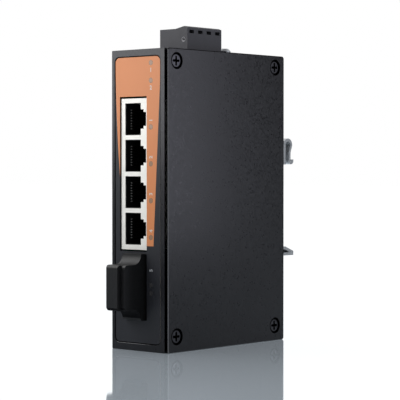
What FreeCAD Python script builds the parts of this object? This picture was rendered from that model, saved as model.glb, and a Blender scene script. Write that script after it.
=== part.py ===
import FreeCAD, Part
import os
import Sketcher
from FreeCAD import Placement, Rotation, Vector

# DIN rail ethernet switch: a folded steel case with a screwed side cover, four copper ports, one
# duplex fibre port with its dust plug, a pluggable supply terminal and a rail clip at the back.
# Frame: origin at the middle of the case's underside, +X to the right seen from the front,
# +Y to the back, +Z up.  All sizes are in millimetres.

SIZES = (
    # case: one folded tray, open on its right side, and a flat cover plate
    ("case_width", 30.0),
    ("case_depth", 70.0),
    ("case_height", 115.0),
    ("sheet", 1.0),
    ("bend", 1.2),
    ("cover_corner", 1.0),
    ("cover_edge", 0.3),
    ("cover_bevel", 0.65),
    ("groove", 0.93),
    ("groove_bevel", 0.8),
    ("ear_tall", 7.6),
    ("ear_wide", 7.0),
    # screws that hold the cover
    ("screw_front", 4.9),
    ("screw_back", 64.1),
    ("screw_high", 110.3),
    ("screw_low", 6.1),
    ("screw_shank", 1.5),
    ("screw_length", 5.0),
    ("screw_head", 2.6),
    ("screw_neck", 2.0),
    ("screw_sink", 0.4),
    ("sink_mouth", 3.0),
    ("recess_width", 0.75),
    ("recess_depth", 1.3),
    ("recess_reach", 1.87),
    ("thread_gap", 0.05),
    ("screw_play", 0.1),
    # pressed field of the front wall, and the label in it
    ("field_overlap", 0.2),
    ("field_left", -12.88),
    ("field_right", 10.93),
    ("field_low", 2.8),
    ("field_high", 112.4),
    ("field_corner", 2.25),
    ("field_sink", 0.5),
    ("field_bevel", 0.2),
    ("label_thick", 0.25),
    ("label_gap", 0.3),
    # window of the four copper ports, and the window of the fibre port
    ("ports_left", -10.28),
    ("ports_right", 3.73),
    ("ports_low", 38.0),
    ("ports_high", 97.1),
    ("fibre_left", -8.0),
    ("fibre_right", 3.7),
    ("fibre_low", 11.7),
    ("fibre_high", 37.1),
    # ganged copper jack
    ("jack_left", -9.87),
    ("jack_right", 3.33),
    ("jack_low", 38.6),
    ("jack_high", 96.4),
    ("jack_face", 0.7),
    ("jack_depth", 21.3),
    ("shield", 0.3),
    ("port_pitch", 13.97),
    ("port_lowest", 46.6),
    ("port_left", -7.8),
    ("port_right", 0.15),
    ("port_half", 6.0),
    ("step_right", 1.61),
    ("step_half", 3.6),
    ("latch_right", 2.9),
    ("latch_half", 2.55),
    ("port_depth", 15.8),
    ("shield_gap", 0.12),
    ("contact_pitch", 1.02),
    ("contact_wire", 0.45),
    ("contact_root", 2.9),
    ("contact_bend", 3.9),
    ("contact_crown", 11.0),
    ("contact_knee", 1.3),
    ("contact_rise", 2.6),
    # fibre transceiver
    ("module_left", -7.1),
    ("module_right", 2.7),
    ("module_low", 12.0),
    ("module_high", 36.9),
    ("module_length", 39.0),
    ("module_proud", 0.1),
    ("module_pin_pitch", 2.54),
    ("module_pin_side", 0.5),
    ("module_pin_back", 2.95),
    ("module_post", 0.9),
    ("module_post_apart", 20.4),
    ("module_post_along", 18.0),
    ("solder_out", 0.8),
    ("bore_pitch", 12.7),
    ("bore_wide", 7.6),
    ("bore_tall", 9.6),
    ("bore_depth", 11.0),
    ("sleeve_out", 1.9),
    ("sleeve_in", 1.25),
    ("sleeve_length", 9.0),
    # dust plug
    ("plug_left", -7.0),
    ("plug_right", 2.7),
    ("plug_middle", 24.6),
    ("plug_half", 12.6),
    ("grip_half", 8.6),
    ("plug_base", 1.8),
    ("plug_scoop", 3.9),
    ("grip_reach", 10.8),
    ("plug_reach", 12.7),
    ("plug_head", 5.6),
    ("plug_round", 1.3),
    ("stub_out", 3.3),
    ("stub_in", 2.3),
    ("stub_length", 8.0),
    # indicator lamps
    ("lamp_across", 5.9),
    ("lamp_drop", 3.1),
    ("lamp_radius", 0.95),
    ("lamp_hole", 1.1),
    ("lamp_collar", 1.5),
    ("lamp_collar_thick", 0.9),
    ("power_lamp_1", 109.7),
    ("power_lamp_2", 103.0),
    ("fibre_lamp_1", 25.4),
    ("fibre_lamp_2", 22.3),
    ("chip_wide", 1.6),
    ("chip_thick", 0.7),
    # circuit boards
    ("board_thick", 1.6),
    ("board_front", 2.4),
    ("board_back", 4.0),
    ("board_low", 4.0),
    ("board_high", 111.0),
    ("board_hole", 1.6),
    ("hole_in", 4.5),
    ("post_radius", 2.9),
    ("board_screw_head", 2.7),
    ("board_screw_head_tall", 1.8),
    ("board_screw_end", 0.3),
    ("lamp_board_thick", 1.2),
    ("lamp_board_left", 4.2),
    ("lamp_board_right", 8.4),
    ("lamp_board_low", 18.0),
    ("lamp_board_high", 112.5),
    ("link_low", 97.0),
    ("link_tall", 5.5),
    ("link_side", 2.5),
    ("link_pitch", 1.27),
    ("link_wire", 0.5),
    ("link_end", 7.2),
    # supply terminal: header on the board, plug in the header
    ("pole_pitch", 5.08),
    ("pole_first", -13.82),
    ("header_left", -6.3),
    ("header_right", 8.0),
    ("header_front", -16.3),
    ("header_back", 6.4),
    ("header_rim", 1.15),
    ("socket_half", 1.35),
    ("header_play", 0.2),
    ("header_low", 106.0),
    ("shroud_floor", 108.3),
    ("shroud_left", -4.9),
    ("shroud_front", -15.75),
    ("shroud_right", 4.2),
    ("plug_play", 0.3),
    ("block_left", -6.3),
    ("block_right", 8.0),
    ("block_front", -16.3),
    ("block_back", 3.9),
    ("block_high", 123.8),
    ("block_edge", 124.15),
    ("ridge_high", 124.65),
    ("ridge_foot", 1.9),
    ("ridge_left", 6.2),
    ("ridge_right", 6.8),
    ("dimple_across", 5.94),
    ("dimple_up", 119.54),
    ("dimple_hole", 0.35),
    ("dimple_rim", 0.5),
    ("dimple_depth", 0.8),
    ("nose_low", 108.8),
    ("pin_side", 0.9),
    ("pin_left", -1.0),
    ("pin_low", 103.6),
    ("pin_high", 115.4),
    ("bar_left", 0.2),
    ("bar_thick", 0.8),
    ("bar_half", 1.2),
    ("bar_low", 109.6),
    ("bar_high", 122.0),
    ("leaf_left", -1.9),
    ("leaf_thick", 0.6),
    ("bridge_low", 116.2),
    ("bridge_thick", 0.8),
    ("room_left", -3.4),
    ("room_right", 4.6),
    ("room_half", 2.2),
    ("room_low", 117.6),
    ("room_high", 122.2),
    ("cage_left", -3.2),
    ("cage_right", 2.3),
    ("cage_half", 2.0),
    ("cage_wall", 1.2),
    ("cage_side", 0.4),
    ("cage_foot", 0.8),
    ("cage_low", 117.9),
    ("cage_high", 121.9),
    ("clamp_axis", 119.9),
    ("clamp_shank", 1.4),
    ("clamp_head", 1.9),
    ("clamp_head_long", 1.6),
    ("clamp_seat", -4.1),
    ("clamp_bore", 2.2),
    ("clamp_slot", 0.6),
    ("clamp_play", 0.15),
    ("clamp_gap", 0.1),
    ("entry_left", 1.1),
    ("entry_right", 3.9),
    ("entry_half", 1.5),
    ("window_half", 1.35),
    ("window_low", 121.95),
    ("window_high", 123.25),
    ("window_depth", 2.0),
    # earth screw on the top wall
    ("earth_across", 4.0),
    ("earth_along", 10.0),
    ("earth_head", 2.8),
    ("earth_crown", 1.9),
    ("earth_side_tall", 1.4),
    ("earth_crown_tall", 0.9),
    ("nut_radius", 3.2),
    ("nut_tall", 1.5),
    # rail clip
    ("clip_half", 12.0),
    ("clip_sheet", 1.2),
    ("clip_low", 33.9),
    ("hook_tip", 10.0),
    ("hook_tip_high", 35.6),
    ("hook_crest", 37.6),
    ("hook_crest_far", 4.7),
    ("hook_crest_near", 2.6),
    ("jog_start", 72.2),
    ("jog_rise", 1.7),
    ("jog_reach", 2.4),
    ("jog_lift", 0.5),
    ("clip_high", 81.0),
    ("spring_low", 71.2),
    ("spring_bend", 79.1),
    ("spring_loop", 2.8),
    ("spring_waist", 6.9),
    ("spring_waist_high", 76.2),
    ("hem_centre", 72.85),
    ("hem_inside", 0.35),
    ("hem_high", 73.3),
    ("rivet_across", 6.0),
    ("rivet_high", 76.6),
    ("rivet_shank", 1.2),
    ("rivet_head", 2.0),
    ("rivet_head_tall", 0.8),
    ("clip_screw_across", 7.0),
    ("clip_screw_low", 45.0),
    ("clip_screw_high", 64.0),
    ("clip_screw_head", 2.7),
    # parts soldered on the board: depth and height of the middle, then size
    ("chip_along", 8.0),
    ("chip_up", 66.0),
    ("chip_side", 14.0),
    ("chip_tall", 1.4),
    ("transformer_along", -6.0),
    ("transformer_up", 48.0),
    ("transformer_pitch", 15.0),
    ("transformer_long", 9.5),
    ("transformer_high", 12.5),
    ("transformer_tall", 5.5),
    ("inductor_along", 20.0),
    ("inductor_up", 92.0),
    ("inductor_side", 10.0),
    ("inductor_tall", 4.5),
    ("regulator_along", 12.0),
    ("regulator_up", 100.0),
    ("regulator_long", 5.0),
    ("regulator_high", 6.0),
    ("regulator_tall", 1.5),
    ("crystal_along", 22.0),
    ("crystal_up", 66.0),
    ("crystal_long", 4.5),
    ("crystal_high", 11.0),
    ("crystal_tall", 3.6),
    ("can_along", 24.0),
    ("can_up", 40.0),
    ("can_pitch", 10.0),
    ("can_radius", 4.0),
    ("can_tall", 11.5),
)

PORTS = 4
CONTACTS = 8
POLES = 4
MODULE_PINS = 9
LINK_WIRES = 4

FRONT = "-Dim.case_depth / 2"
BACK = "Dim.case_depth / 2"
LEFT = "-Dim.case_width / 2"
RIGHT = "Dim.case_width / 2"
TOP = "Dim.case_height"
COVER_INSIDE = f"{RIGHT} - Dim.sheet"
FIELD = f"{FRONT} + Dim.field_sink"
LABEL_FACE = f"{FIELD} - Dim.label_thick"
WALL_INSIDE = f"{FRONT} + Dim.sheet"
FIELD_INSIDE = f"{WALL_INSIDE} + Dim.field_sink"
JACK_FACE = f"{FRONT} + Dim.jack_face"
BOARD_FACE = "Dim.jack_left"
BOARD_BACK = f"{BOARD_FACE} - Dim.board_thick"
BOARD_FRONT_EDGE = f"{WALL_INSIDE} + Dim.board_front"
BOARD_BACK_EDGE = f"{BACK} - Dim.board_back"
LAMP_FACE = f"{FIELD_INSIDE} + Dim.lamp_collar_thick"
LAMP_BOARD_FACE = f"{LAMP_FACE} + Dim.chip_thick"
MODULE_MIDDLE = "(Dim.module_left + Dim.module_right) / 2"
MODULE_FACE = f"{FRONT} + Dim.module_proud"
MODULE_CENTRE = "(Dim.module_low + Dim.module_high) / 2"
MODULE_PIN_ROW = f"{MODULE_FACE} + Dim.module_length - Dim.module_pin_back"
PLUG_UNDERSIDE = f"{TOP} + Dim.header_rim"
CLIP_FACE = f"{BACK} + Dim.clip_sheet"
POST_ROOT = f"{LEFT} + Dim.sheet"

doc = FreeCAD.newDocument("din_rail_ethernet_switch")
dim = doc.addObject("Spreadsheet::Sheet", "Dim")
for row, (word, size) in enumerate(SIZES, start=1):
    dim.set(f"A{row}", word)
    dim.set(f"B{row}", str(size))
    dim.setAlias(f"B{row}", word)
doc.recompute()
nodes = []


# ---------------------------------------------------------------- ways to make a piece

def node(name, piece):
    """Marks an object as one piece of the assembly, with the name it is filed under."""
    piece.Label = name
    nodes.append(piece)
    return piece


def bind(piece, rules):
    """Ties properties to rules written in the words of the size sheet."""
    for name, rule in rules.items():
        piece.setExpression(name, rule)
    return piece


def place(piece, spot):
    for axis, rule in zip("xyz", spot):
        piece.setExpression(f"Placement.Base.{axis}", rule)
    return piece


def block(name, low, high):
    """A box between its lowest and its highest corner."""
    sides = [f"({end}) - ({start})" for start, end in zip(low, high)]
    piece = doc.addObject("Part::Box", name)
    bind(piece, dict(zip(("Length", "Width", "Height"), sides)))
    return place(piece, low)


TURN = {
    "+x": Rotation(Vector(0, 1, 0), 90),
    "-x": Rotation(Vector(0, 1, 0), -90),
    "+y": Rotation(Vector(1, 0, 0), -90),
    "-y": Rotation(Vector(1, 0, 0), 90),
    "+z": Rotation(),
    "-z": Rotation(Vector(1, 0, 0), 180),
}


def rod(name, foot, way, radius, length):
    """A cylinder that starts at foot and runs the given way."""
    piece = doc.addObject("Part::Cylinder", name)
    piece.Placement = Placement(Vector(), TURN[way])
    bind(piece, {"Radius": radius, "Height": length})
    return place(piece, foot)


def hexagon(name, foot, way, radius, length):
    """A six-sided bar, measured to its corners."""
    piece = doc.addObject("Part::Prism", name)
    piece.Polygon = 6
    piece.Placement = Placement(Vector(), TURN[way])
    bind(piece, {"Circumradius": radius, "Height": length})
    return place(piece, foot)


def cone(name, foot, way, radius, end_radius, length):
    piece = doc.addObject("Part::Cone", name)
    piece.Placement = Placement(Vector(), TURN[way])
    bind(piece, {"Radius1": radius, "Radius2": end_radius, "Height": length})
    return place(piece, foot)


def fuse(name, pieces):
    piece = doc.addObject("Part::MultiFuse", name)
    piece.Shapes = pieces
    piece.Refine = True
    return piece


def cut(name, base, tools):
    piece = doc.addObject("Part::Cut", name)
    piece.Base = base
    piece.Tool = tools[0] if len(tools) == 1 else fuse(f"{name}_voids", tools)
    piece.Refine = True
    return piece


def group(name, pieces):
    """Like pieces that stay separate solids in one node."""
    piece = doc.addObject("Part::Compound", name)
    piece.Links = pieces
    return piece


def formed(name, shape):
    """A piece whose shape comes from lines, arcs and a run rather than from a feature."""
    piece = doc.addObject("Part::Feature", name)
    piece.Shape = shape
    return piece


def value(rule):
    """The number that a rule gives now."""
    return float(dim.evalExpression(rule))


def body(name):
    return doc.addObject("PartDesign::Body", name)


def sketch(owner, name, role, height):
    """A sketch on one of the body's own planes, moved along its normal by a rule."""
    plane = next(item for item in owner.Origin.OriginFeatures if item.Role == role)
    drawing = owner.newObject("Sketcher::SketchObject", name)
    drawing.AttachmentSupport = (plane, [""])
    drawing.MapMode = "FlatFace"
    drawing.setExpression("AttachmentOffset.Base.z", height)
    return drawing


def polygon(drawing, corners):
    """A closed outline of straight lines; each corner is a pair of rules from the origin."""
    first = drawing.GeometryCount
    spots = [Vector(*(value(rule) for rule in corner), 0) for corner in corners]
    ends = spots[1:] + spots[:1]
    for start, end in zip(spots, ends):
        drawing.addGeometry(Part.LineSegment(start, end), False)
    for index, corner in enumerate(corners):
        line = first + index
        after = first + (index + 1) % len(corners)
        drawing.addConstraint(Sketcher.Constraint("Coincident", line, 2, after, 1))
        for kind, spot, rule in zip(("DistanceX", "DistanceY"), spots[index], corner):
            number = drawing.addConstraint(Sketcher.Constraint(kind, -1, 1, line, 1, spot))
            drawing.setExpression(f"Constraints[{number}]", rule)
    return drawing


def rectangle(drawing, left, low, right, high):
    return polygon(drawing, ((left, low), (right, low), (right, high), (left, high)))


def ring(drawing, across, up, radius):
    circle = Part.Circle(Vector(value(across), value(up), 0), Vector(0, 0, 1), value(radius))
    number = drawing.addGeometry(circle, False)
    for kind, rule in (("DistanceX", across), ("DistanceY", up)):
        tie = drawing.addConstraint(Sketcher.Constraint(kind, -1, 1, number, 3, value(rule)))
        drawing.setExpression(f"Constraints[{tie}]", rule)
    tie = drawing.addConstraint(Sketcher.Constraint("Radius", number, value(radius)))
    drawing.setExpression(f"Constraints[{tie}]", radius)
    return drawing


def feature(owner, kind, name, drawing, rules, **settings):
    item = owner.newObject(f"PartDesign::{kind}", name)
    item.Profile = drawing
    for key, setting in settings.items():
        setattr(item, key, setting)
    bind(item, rules)
    doc.recompute()
    return item


def pad(owner, name, drawing, length, **settings):
    return feature(owner, "Pad", name, drawing, {"Length": length}, **settings)


def pocket(owner, name, drawing, depth, **settings):
    """Cuts into the solid, against the sketch's normal, and makes sure that it did."""
    before = owner.Shape.Volume
    item = feature(owner, "Pocket", name, drawing, {"Length": depth}, **settings)
    if owner.Shape.Volume > before - 1e-6:
        raise RuntimeError(f"{name} cuts nothing")
    return item


def edges(shape, test):
    """Names of the edges whose bounding box passes a test."""
    return [f"Edge{number}" for number, edge in enumerate(shape.Edges, start=1) if test(edge.BoundBox)]


def dress(owner, kind, name, rule, test):
    """A fillet or chamfer on the edges that pass the test."""
    base = owner.Tip
    item = owner.newObject(f"PartDesign::{kind}", name)
    item.Base = (base, edges(base.Shape, test))
    bind(item, {"Radius" if kind == "Fillet" else "Size": rule})
    doc.recompute()
    return item


def near(one, other):
    return abs(one - other) < 1e-3


def along_x(box):
    return near(box.YLength, 0) and near(box.ZLength, 0)


def along_y(box):
    return near(box.XLength, 0) and near(box.ZLength, 0)


def along_z(box):
    return near(box.XLength, 0) and near(box.YLength, 0)


# ---------------------------------------------------------------- places that several pieces share

def port_middle(port):
    """Height of a copper port's middle, counted from the top one."""
    return f"Dim.port_lowest + {PORTS - 1 - port} * Dim.port_pitch"


def lamps():
    """Heights of the indicator lamps: two for the supply, one a port, two for the fibre."""
    ports = [f"{port_middle(port)} - Dim.lamp_drop" for port in range(PORTS)]
    return ["Dim.power_lamp_1", "Dim.power_lamp_2", *ports, "Dim.fibre_lamp_1", "Dim.fibre_lamp_2"]


def cover_screw_spots():
    """Depth and height of the four cover screws."""
    ahead = f"{FRONT} + Dim.screw_front"
    behind = f"{FRONT} + Dim.screw_back"
    return [(along, up) for along in (ahead, behind) for up in ("Dim.screw_low", "Dim.screw_high")]


def board_hole_spots():
    near_edge = f"{BOARD_FRONT_EDGE} + Dim.hole_in"
    far_edge = f"{BOARD_BACK_EDGE} - Dim.hole_in"
    low = "Dim.board_low + Dim.hole_in"
    high = "Dim.board_high - Dim.hole_in"
    return [(near_edge, low), (far_edge, low), (near_edge, high), (far_edge, high)]


def clip_screw_spots():
    return [
        (f"{side} * Dim.clip_screw_across", up)
        for side in (-1, 1)
        for up in ("Dim.clip_screw_low", "Dim.clip_screw_high")
    ]


def pole_middle(pole):
    return f"Dim.pole_first + {pole} * Dim.pole_pitch"


# ---------------------------------------------------------------- case

def make_chassis():
    """A steel tray folded from one sheet: left side, front, back, top and bottom walls, and four ears."""
    case = body("chassis")
    outside = rectangle(sketch(case, "outside", "YZ_Plane", LEFT), FRONT, "0", BACK, TOP)
    pad(case, "outer_block", outside, f"{COVER_INSIDE} - ({LEFT})")
    left = value(LEFT)
    dress(case, "Fillet", "folds", "Dim.bend", lambda box: near(box.XMin, left) and near(box.XMax, left))

    inside = rectangle(
        sketch(case, "inside", "YZ_Plane", COVER_INSIDE),
        WALL_INSIDE, "Dim.sheet", f"{BACK} - Dim.sheet", f"{TOP} - Dim.sheet",
    )
    pocket(case, "hollow", inside, f"{COVER_INSIDE} - ({LEFT}) - Dim.sheet")

    groove = rectangle(
        sketch(case, "groove_outline", "XZ_Plane", f"-({FRONT})"),
        f"{COVER_INSIDE} - Dim.groove", "0", COVER_INSIDE, TOP,
    )
    pocket(case, "groove", groove, "Dim.sheet")
    lip = f"{COVER_INSIDE} - Dim.groove"
    bevel = polygon(
        sketch(case, "groove_bevel_outline", "XY_Plane", f"{TOP} - Dim.sheet"),
        (
            (f"{lip} - Dim.groove_bevel", WALL_INSIDE),
            (lip, f"{WALL_INSIDE} - Dim.groove_bevel"),
            (lip, WALL_INSIDE),
        ),
    )
    pocket(case, "groove_bevel", bevel, f"{TOP} - 2 * Dim.sheet")

    ears = sketch(case, "ear_outlines", "YZ_Plane", COVER_INSIDE)
    for along, up in cover_screw_spots():
        low, high = (f"{up} - Dim.ear_tall / 2", f"{TOP} - Dim.sheet / 2")
        if up == "Dim.screw_low":
            low, high = ("Dim.sheet / 2", f"{up} + Dim.ear_tall / 2")
        rectangle(ears, f"{along} - Dim.ear_wide / 2", low, f"{along} + Dim.ear_wide / 2", high)
    pad(case, "ears", ears, "Dim.sheet", Reversed=True)
    ear_holes = sketch(case, "ear_hole_outlines", "YZ_Plane", COVER_INSIDE)
    for along, up in cover_screw_spots():
        ring(ear_holes, along, up, "Dim.screw_shank + Dim.thread_gap")
    pocket(case, "ear_holes", ear_holes, "Dim.sheet")

    pressed = ("Dim.field_left", "Dim.field_low", "Dim.field_right", "Dim.field_high")
    boss = rectangle(sketch(case, "boss_outline", "XZ_Plane", f"-({FIELD_INSIDE})"), *pressed)
    pad(case, "pressed_boss", boss, "Dim.field_sink + Dim.field_overlap")
    field = rectangle(sketch(case, "field_outline", "XZ_Plane", f"-({FRONT})"), *pressed)
    pocket(case, "pressed_field", field, "Dim.field_sink")
    front, floor = value(FRONT), value(FIELD)
    dress(
        case, "Fillet", "field_corners", "Dim.field_corner",
        lambda box: along_y(box) and near(box.YMin, front) and near(box.YMax, floor),
    )
    low, high = value("Dim.field_low"), value("Dim.field_high")
    dress(
        case, "Chamfer", "field_rim", "Dim.field_bevel",
        lambda box: near(box.YMin, front) and near(box.YMax, front)
        and box.ZMin > low - 0.1 and box.ZMax < high + 0.1,
    )

    windows = sketch(case, "window_outlines", "XZ_Plane", f"-({FRONT})")
    rectangle(windows, "Dim.ports_left", "Dim.ports_low", "Dim.ports_right", "Dim.ports_high")
    rectangle(windows, "Dim.fibre_left", "Dim.fibre_low", "Dim.fibre_right", "Dim.fibre_high")
    pocket(case, "windows", windows, "2 * Dim.sheet")
    holes = sketch(case, "lamp_hole_outlines", "XZ_Plane", f"-({FRONT})")
    for up in lamps():
        ring(holes, "Dim.lamp_across", up, "Dim.lamp_hole")
    pocket(case, "lamp_holes", holes, "2 * Dim.sheet")

    upper = sketch(case, "top_openings", "XY_Plane", TOP)
    rectangle(
        upper,
        "Dim.header_left - Dim.header_play", "Dim.header_front - Dim.header_play",
        "Dim.header_right + Dim.header_play", "Dim.header_back + Dim.header_play",
    )
    ring(upper, "Dim.earth_across", "Dim.earth_along", "Dim.screw_shank + Dim.screw_play")
    pocket(case, "top_cuts", upper, "Dim.sheet")

    rear = sketch(case, "clip_hole_outlines", "XZ_Plane", f"-({BACK} - Dim.sheet)")
    for across, up in clip_screw_spots():
        ring(rear, across, up, "Dim.screw_shank + Dim.screw_play")
    pocket(case, "clip_holes", rear, "Dim.sheet")
    return node("chassis", case)


def make_side_cover():
    """A flat plate with rounded corners, a front edge bevelled on its inner side and four sinks."""
    cover = body("side_cover")
    outline = rectangle(sketch(cover, "cover_outline", "YZ_Plane", COVER_INSIDE), FRONT, "0", BACK, TOP)
    pad(cover, "plate", outline, "Dim.sheet")
    dress(cover, "Fillet", "cover_corners", "Dim.cover_corner", along_x)
    outer = value(RIGHT)
    dress(
        cover, "Chamfer", "cover_rim", "Dim.cover_edge",
        lambda box: near(box.XMin, outer) and near(box.XMax, outer),
    )
    inner, front = value(COVER_INSIDE), value(FRONT)
    dress(
        cover, "Chamfer", "front_bevel", "Dim.cover_bevel",
        lambda box: along_z(box) and near(box.XMin, inner) and near(box.YMin, front),
    )
    holes = sketch(cover, "cover_hole_outlines", "YZ_Plane", RIGHT)
    for along, up in cover_screw_spots():
        ring(holes, along, up, "Dim.screw_neck + Dim.thread_gap")
    pocket(cover, "cover_holes", holes, "Dim.sheet")
    radius = value("Dim.screw_neck + Dim.thread_gap")
    dress(
        cover, "Chamfer", "sinks", "Dim.sink_mouth - Dim.screw_neck - Dim.thread_gap",
        lambda box: near(box.XMin, outer) and near(box.XMax, outer) and near(box.YLength, 2 * radius),
    )
    return node("side_cover", cover)


def cross_recess(name, foot, way):
    """The crossed slots of a screw head."""
    run = "xyz".index(way[1])
    bars = []
    for number, wide in enumerate(axis for axis in range(3) if axis != run):
        low, high = list(foot), list(foot)
        low[run] = f"{foot[run]} - Dim.recess_depth"
        for axis in range(3):
            if axis != run:
                half = "Dim.recess_reach" if axis == wide else "Dim.recess_width / 2"
                low[axis] = f"{foot[axis]} - {half}"
                high[axis] = f"{foot[axis]} + {half}"
        bars.append(block(f"{name}_bar_{number + 1}", low, high))
    return fuse(f"{name}_cross", bars)


def make_cover_screws():
    screws = []
    for number, (along, up) in enumerate(cover_screw_spots(), start=1):
        name = f"cover_screw_{number}"
        top = f"{RIGHT} - Dim.screw_sink"
        spot = (top, along, up)
        taper = "Dim.screw_head - Dim.screw_neck"
        head = cone(f"{name}_head", spot, "-x", "Dim.screw_head", "Dim.screw_neck", taper)
        shank = rod(f"{name}_shank", spot, "-x", "Dim.screw_shank", f"Dim.screw_length + {taper}")
        blank = fuse(f"{name}_blank", [head, shank])
        screws.append(cut(name, blank, [cross_recess(name, spot, "-x")]))
    return node("cover_screws", group("cover_screws", screws))


def make_front_label():
    """A printed film laid in the pressed field, with the windows cut through it."""
    label = body("front_label")
    outline = rectangle(
        sketch(label, "label_outline", "XZ_Plane", f"-({FIELD})"),
        "Dim.field_left + Dim.label_gap", "Dim.field_low + Dim.label_gap",
        "Dim.field_right - Dim.label_gap", "Dim.field_high - Dim.label_gap",
    )
    pad(label, "film", outline, "Dim.label_thick")
    dress(label, "Fillet", "label_corners", "Dim.field_corner - Dim.label_gap", along_y)
    windows = sketch(label, "label_window_outlines", "XZ_Plane", f"-({LABEL_FACE})")
    rectangle(windows, "Dim.ports_left", "Dim.ports_low", "Dim.ports_right", "Dim.ports_high")
    rectangle(windows, "Dim.fibre_left", "Dim.fibre_low", "Dim.fibre_right", "Dim.fibre_high")
    for up in lamps():
        ring(windows, "Dim.lamp_across", up, "Dim.lamp_radius + Dim.thread_gap")
    pocket(label, "label_windows", windows, "Dim.label_thick")
    return node("front_label", label)


# ---------------------------------------------------------------- lamps

def make_lamps():
    """Clear light pipes seated in the front wall, and the lamp chips behind them."""
    pipes = []
    chips = []
    for number, up in enumerate(lamps(), start=1):
        at = "Dim.lamp_across"
        long = f"{LAMP_FACE} - ({LABEL_FACE})"
        stem = rod(f"pipe_{number}_stem", (at, LABEL_FACE, up), "+y", "Dim.lamp_radius", long)
        collar = block(
            f"pipe_{number}_collar",
            (f"{at} - Dim.lamp_collar", FIELD_INSIDE, f"{up} - Dim.lamp_collar"),
            (f"{at} + Dim.lamp_collar", LAMP_FACE, f"{up} + Dim.lamp_collar"),
        )
        pipes.append(fuse(f"pipe_{number}", [stem, collar]))
        chips.append(block(
            f"lamp_chip_{number}",
            (f"{at} - Dim.chip_wide / 2", LAMP_FACE, f"{up} - Dim.chip_wide / 4"),
            (f"{at} + Dim.chip_wide / 2", LAMP_BOARD_FACE, f"{up} + Dim.chip_wide / 4"),
        ))
    node("light_pipes", group("light_pipes", pipes))
    return node("lamp_chips", group("lamp_chips", chips))


def make_lamp_board():
    return node("lamp_board", block(
        "lamp_board",
        ("Dim.lamp_board_left", LAMP_BOARD_FACE, "Dim.lamp_board_low"),
        ("Dim.lamp_board_right", f"{LAMP_BOARD_FACE} + Dim.lamp_board_thick", "Dim.lamp_board_high"),
    ))


# ---------------------------------------------------------------- copper ports

def port_void(name, port, near_face, depth, grow):
    """The stepped hole of one port: plug way, shoulder and latch way, in one prism."""
    up = port_middle(port)
    steps = (
        ("way", "Dim.port_left", "Dim.port_right", "Dim.port_half"),
        ("step", "Dim.port_right", "Dim.step_right", "Dim.step_half"),
        ("latch", "Dim.step_right", "Dim.latch_right", "Dim.latch_half"),
    )
    parts = []
    for word, left, right, half in steps:
        near_side = f"{left} - {grow}" if word == "way" else left
        parts.append(block(
            f"{name}_{word}",
            (near_side, near_face, f"{up} - {half} - {grow}"),
            (f"{right} + {grow}", f"{near_face} + {depth}", f"{up} + {half} + {grow}"),
        ))
    return fuse(name, parts)


def make_jack():
    """Four ports in one row: a folded tin-plated shield round one black moulding."""
    back = f"{JACK_FACE} + Dim.jack_depth - Dim.shield"
    shell = block(
        "shield_block",
        ("Dim.jack_left", JACK_FACE, "Dim.jack_low"),
        ("Dim.jack_right", f"{JACK_FACE} + Dim.jack_depth", "Dim.jack_high"),
    )
    room = block(
        "shield_room",
        ("Dim.jack_left", f"{JACK_FACE} + Dim.shield", "Dim.jack_low + Dim.shield"),
        ("Dim.jack_right - Dim.shield", back, "Dim.jack_high - Dim.shield"),
    )
    mouths = [
        port_void(f"shield_mouth_{port}", port, JACK_FACE, "Dim.shield", "Dim.shield_gap")
        for port in range(PORTS)
    ]
    node("jack_shield", cut("jack_shield", shell, [room, *mouths]))

    core = block(
        "housing_block",
        ("Dim.jack_left", f"{JACK_FACE} + Dim.shield", "Dim.jack_low + Dim.shield"),
        ("Dim.jack_right - Dim.shield", back, "Dim.jack_high - Dim.shield"),
    )
    ways = [port_void(f"port_{port}", port, JACK_FACE, "Dim.port_depth", "0") for port in range(PORTS)]
    return node("jack_housing", cut("jack_housing", core, ways))


def contact_shape(up):
    """One sprung wire: out of the floor near the mouth, up and back to the end of the port."""
    face = value(JACK_FACE)
    floor = value("Dim.port_left")
    knee = floor + value("Dim.contact_knee")
    crown = floor + value("Dim.contact_rise")
    thick = value("Dim.contact_wire")
    root = face + value("Dim.contact_root")
    bend = face + value("Dim.contact_bend")
    rise = face + value("Dim.contact_crown")
    end = face + value("Dim.port_depth")
    above = ((floor, root), (knee, root + thick), (crown, rise), (crown, end))
    below = ((crown - thick, end), (crown - thick, rise), (knee - thick, bend), (floor, root + thick))
    points = [Vector(across, along, up - thick / 2) for across, along in above + below]
    return Part.Face(Part.makePolygon(points + points[:1])).extrude(Vector(0, 0, thick))


def make_contacts():
    middle = (CONTACTS - 1) / 2
    for port in range(PORTS):
        centre = value(port_middle(port))
        pitch = value("Dim.contact_pitch")
        wires = [contact_shape(centre + (number - middle) * pitch) for number in range(CONTACTS)]
        name = f"port_contacts_{port + 1}"
        node(name, formed(name, Part.makeCompound(wires)))


# ---------------------------------------------------------------- fibre port

def module_pin_spots():
    """Heights of the transceiver's signal pins."""
    middle = (MODULE_PINS - 1) / 2
    return [f"{MODULE_CENTRE} + {number - middle} * Dim.module_pin_pitch" for number in range(MODULE_PINS)]


def module_post_spots():
    """Depth and height of the two posts that fix the transceiver to the board."""
    along = f"{MODULE_FACE} + Dim.module_post_along"
    return [(along, f"{MODULE_CENTRE} + {side} * Dim.module_post_apart / 2") for side in (-1, 1)]


def receptacle_spots():
    return [f"{MODULE_CENTRE} + {side} * Dim.bore_pitch / 2" for side in (-1, 1)]


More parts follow.
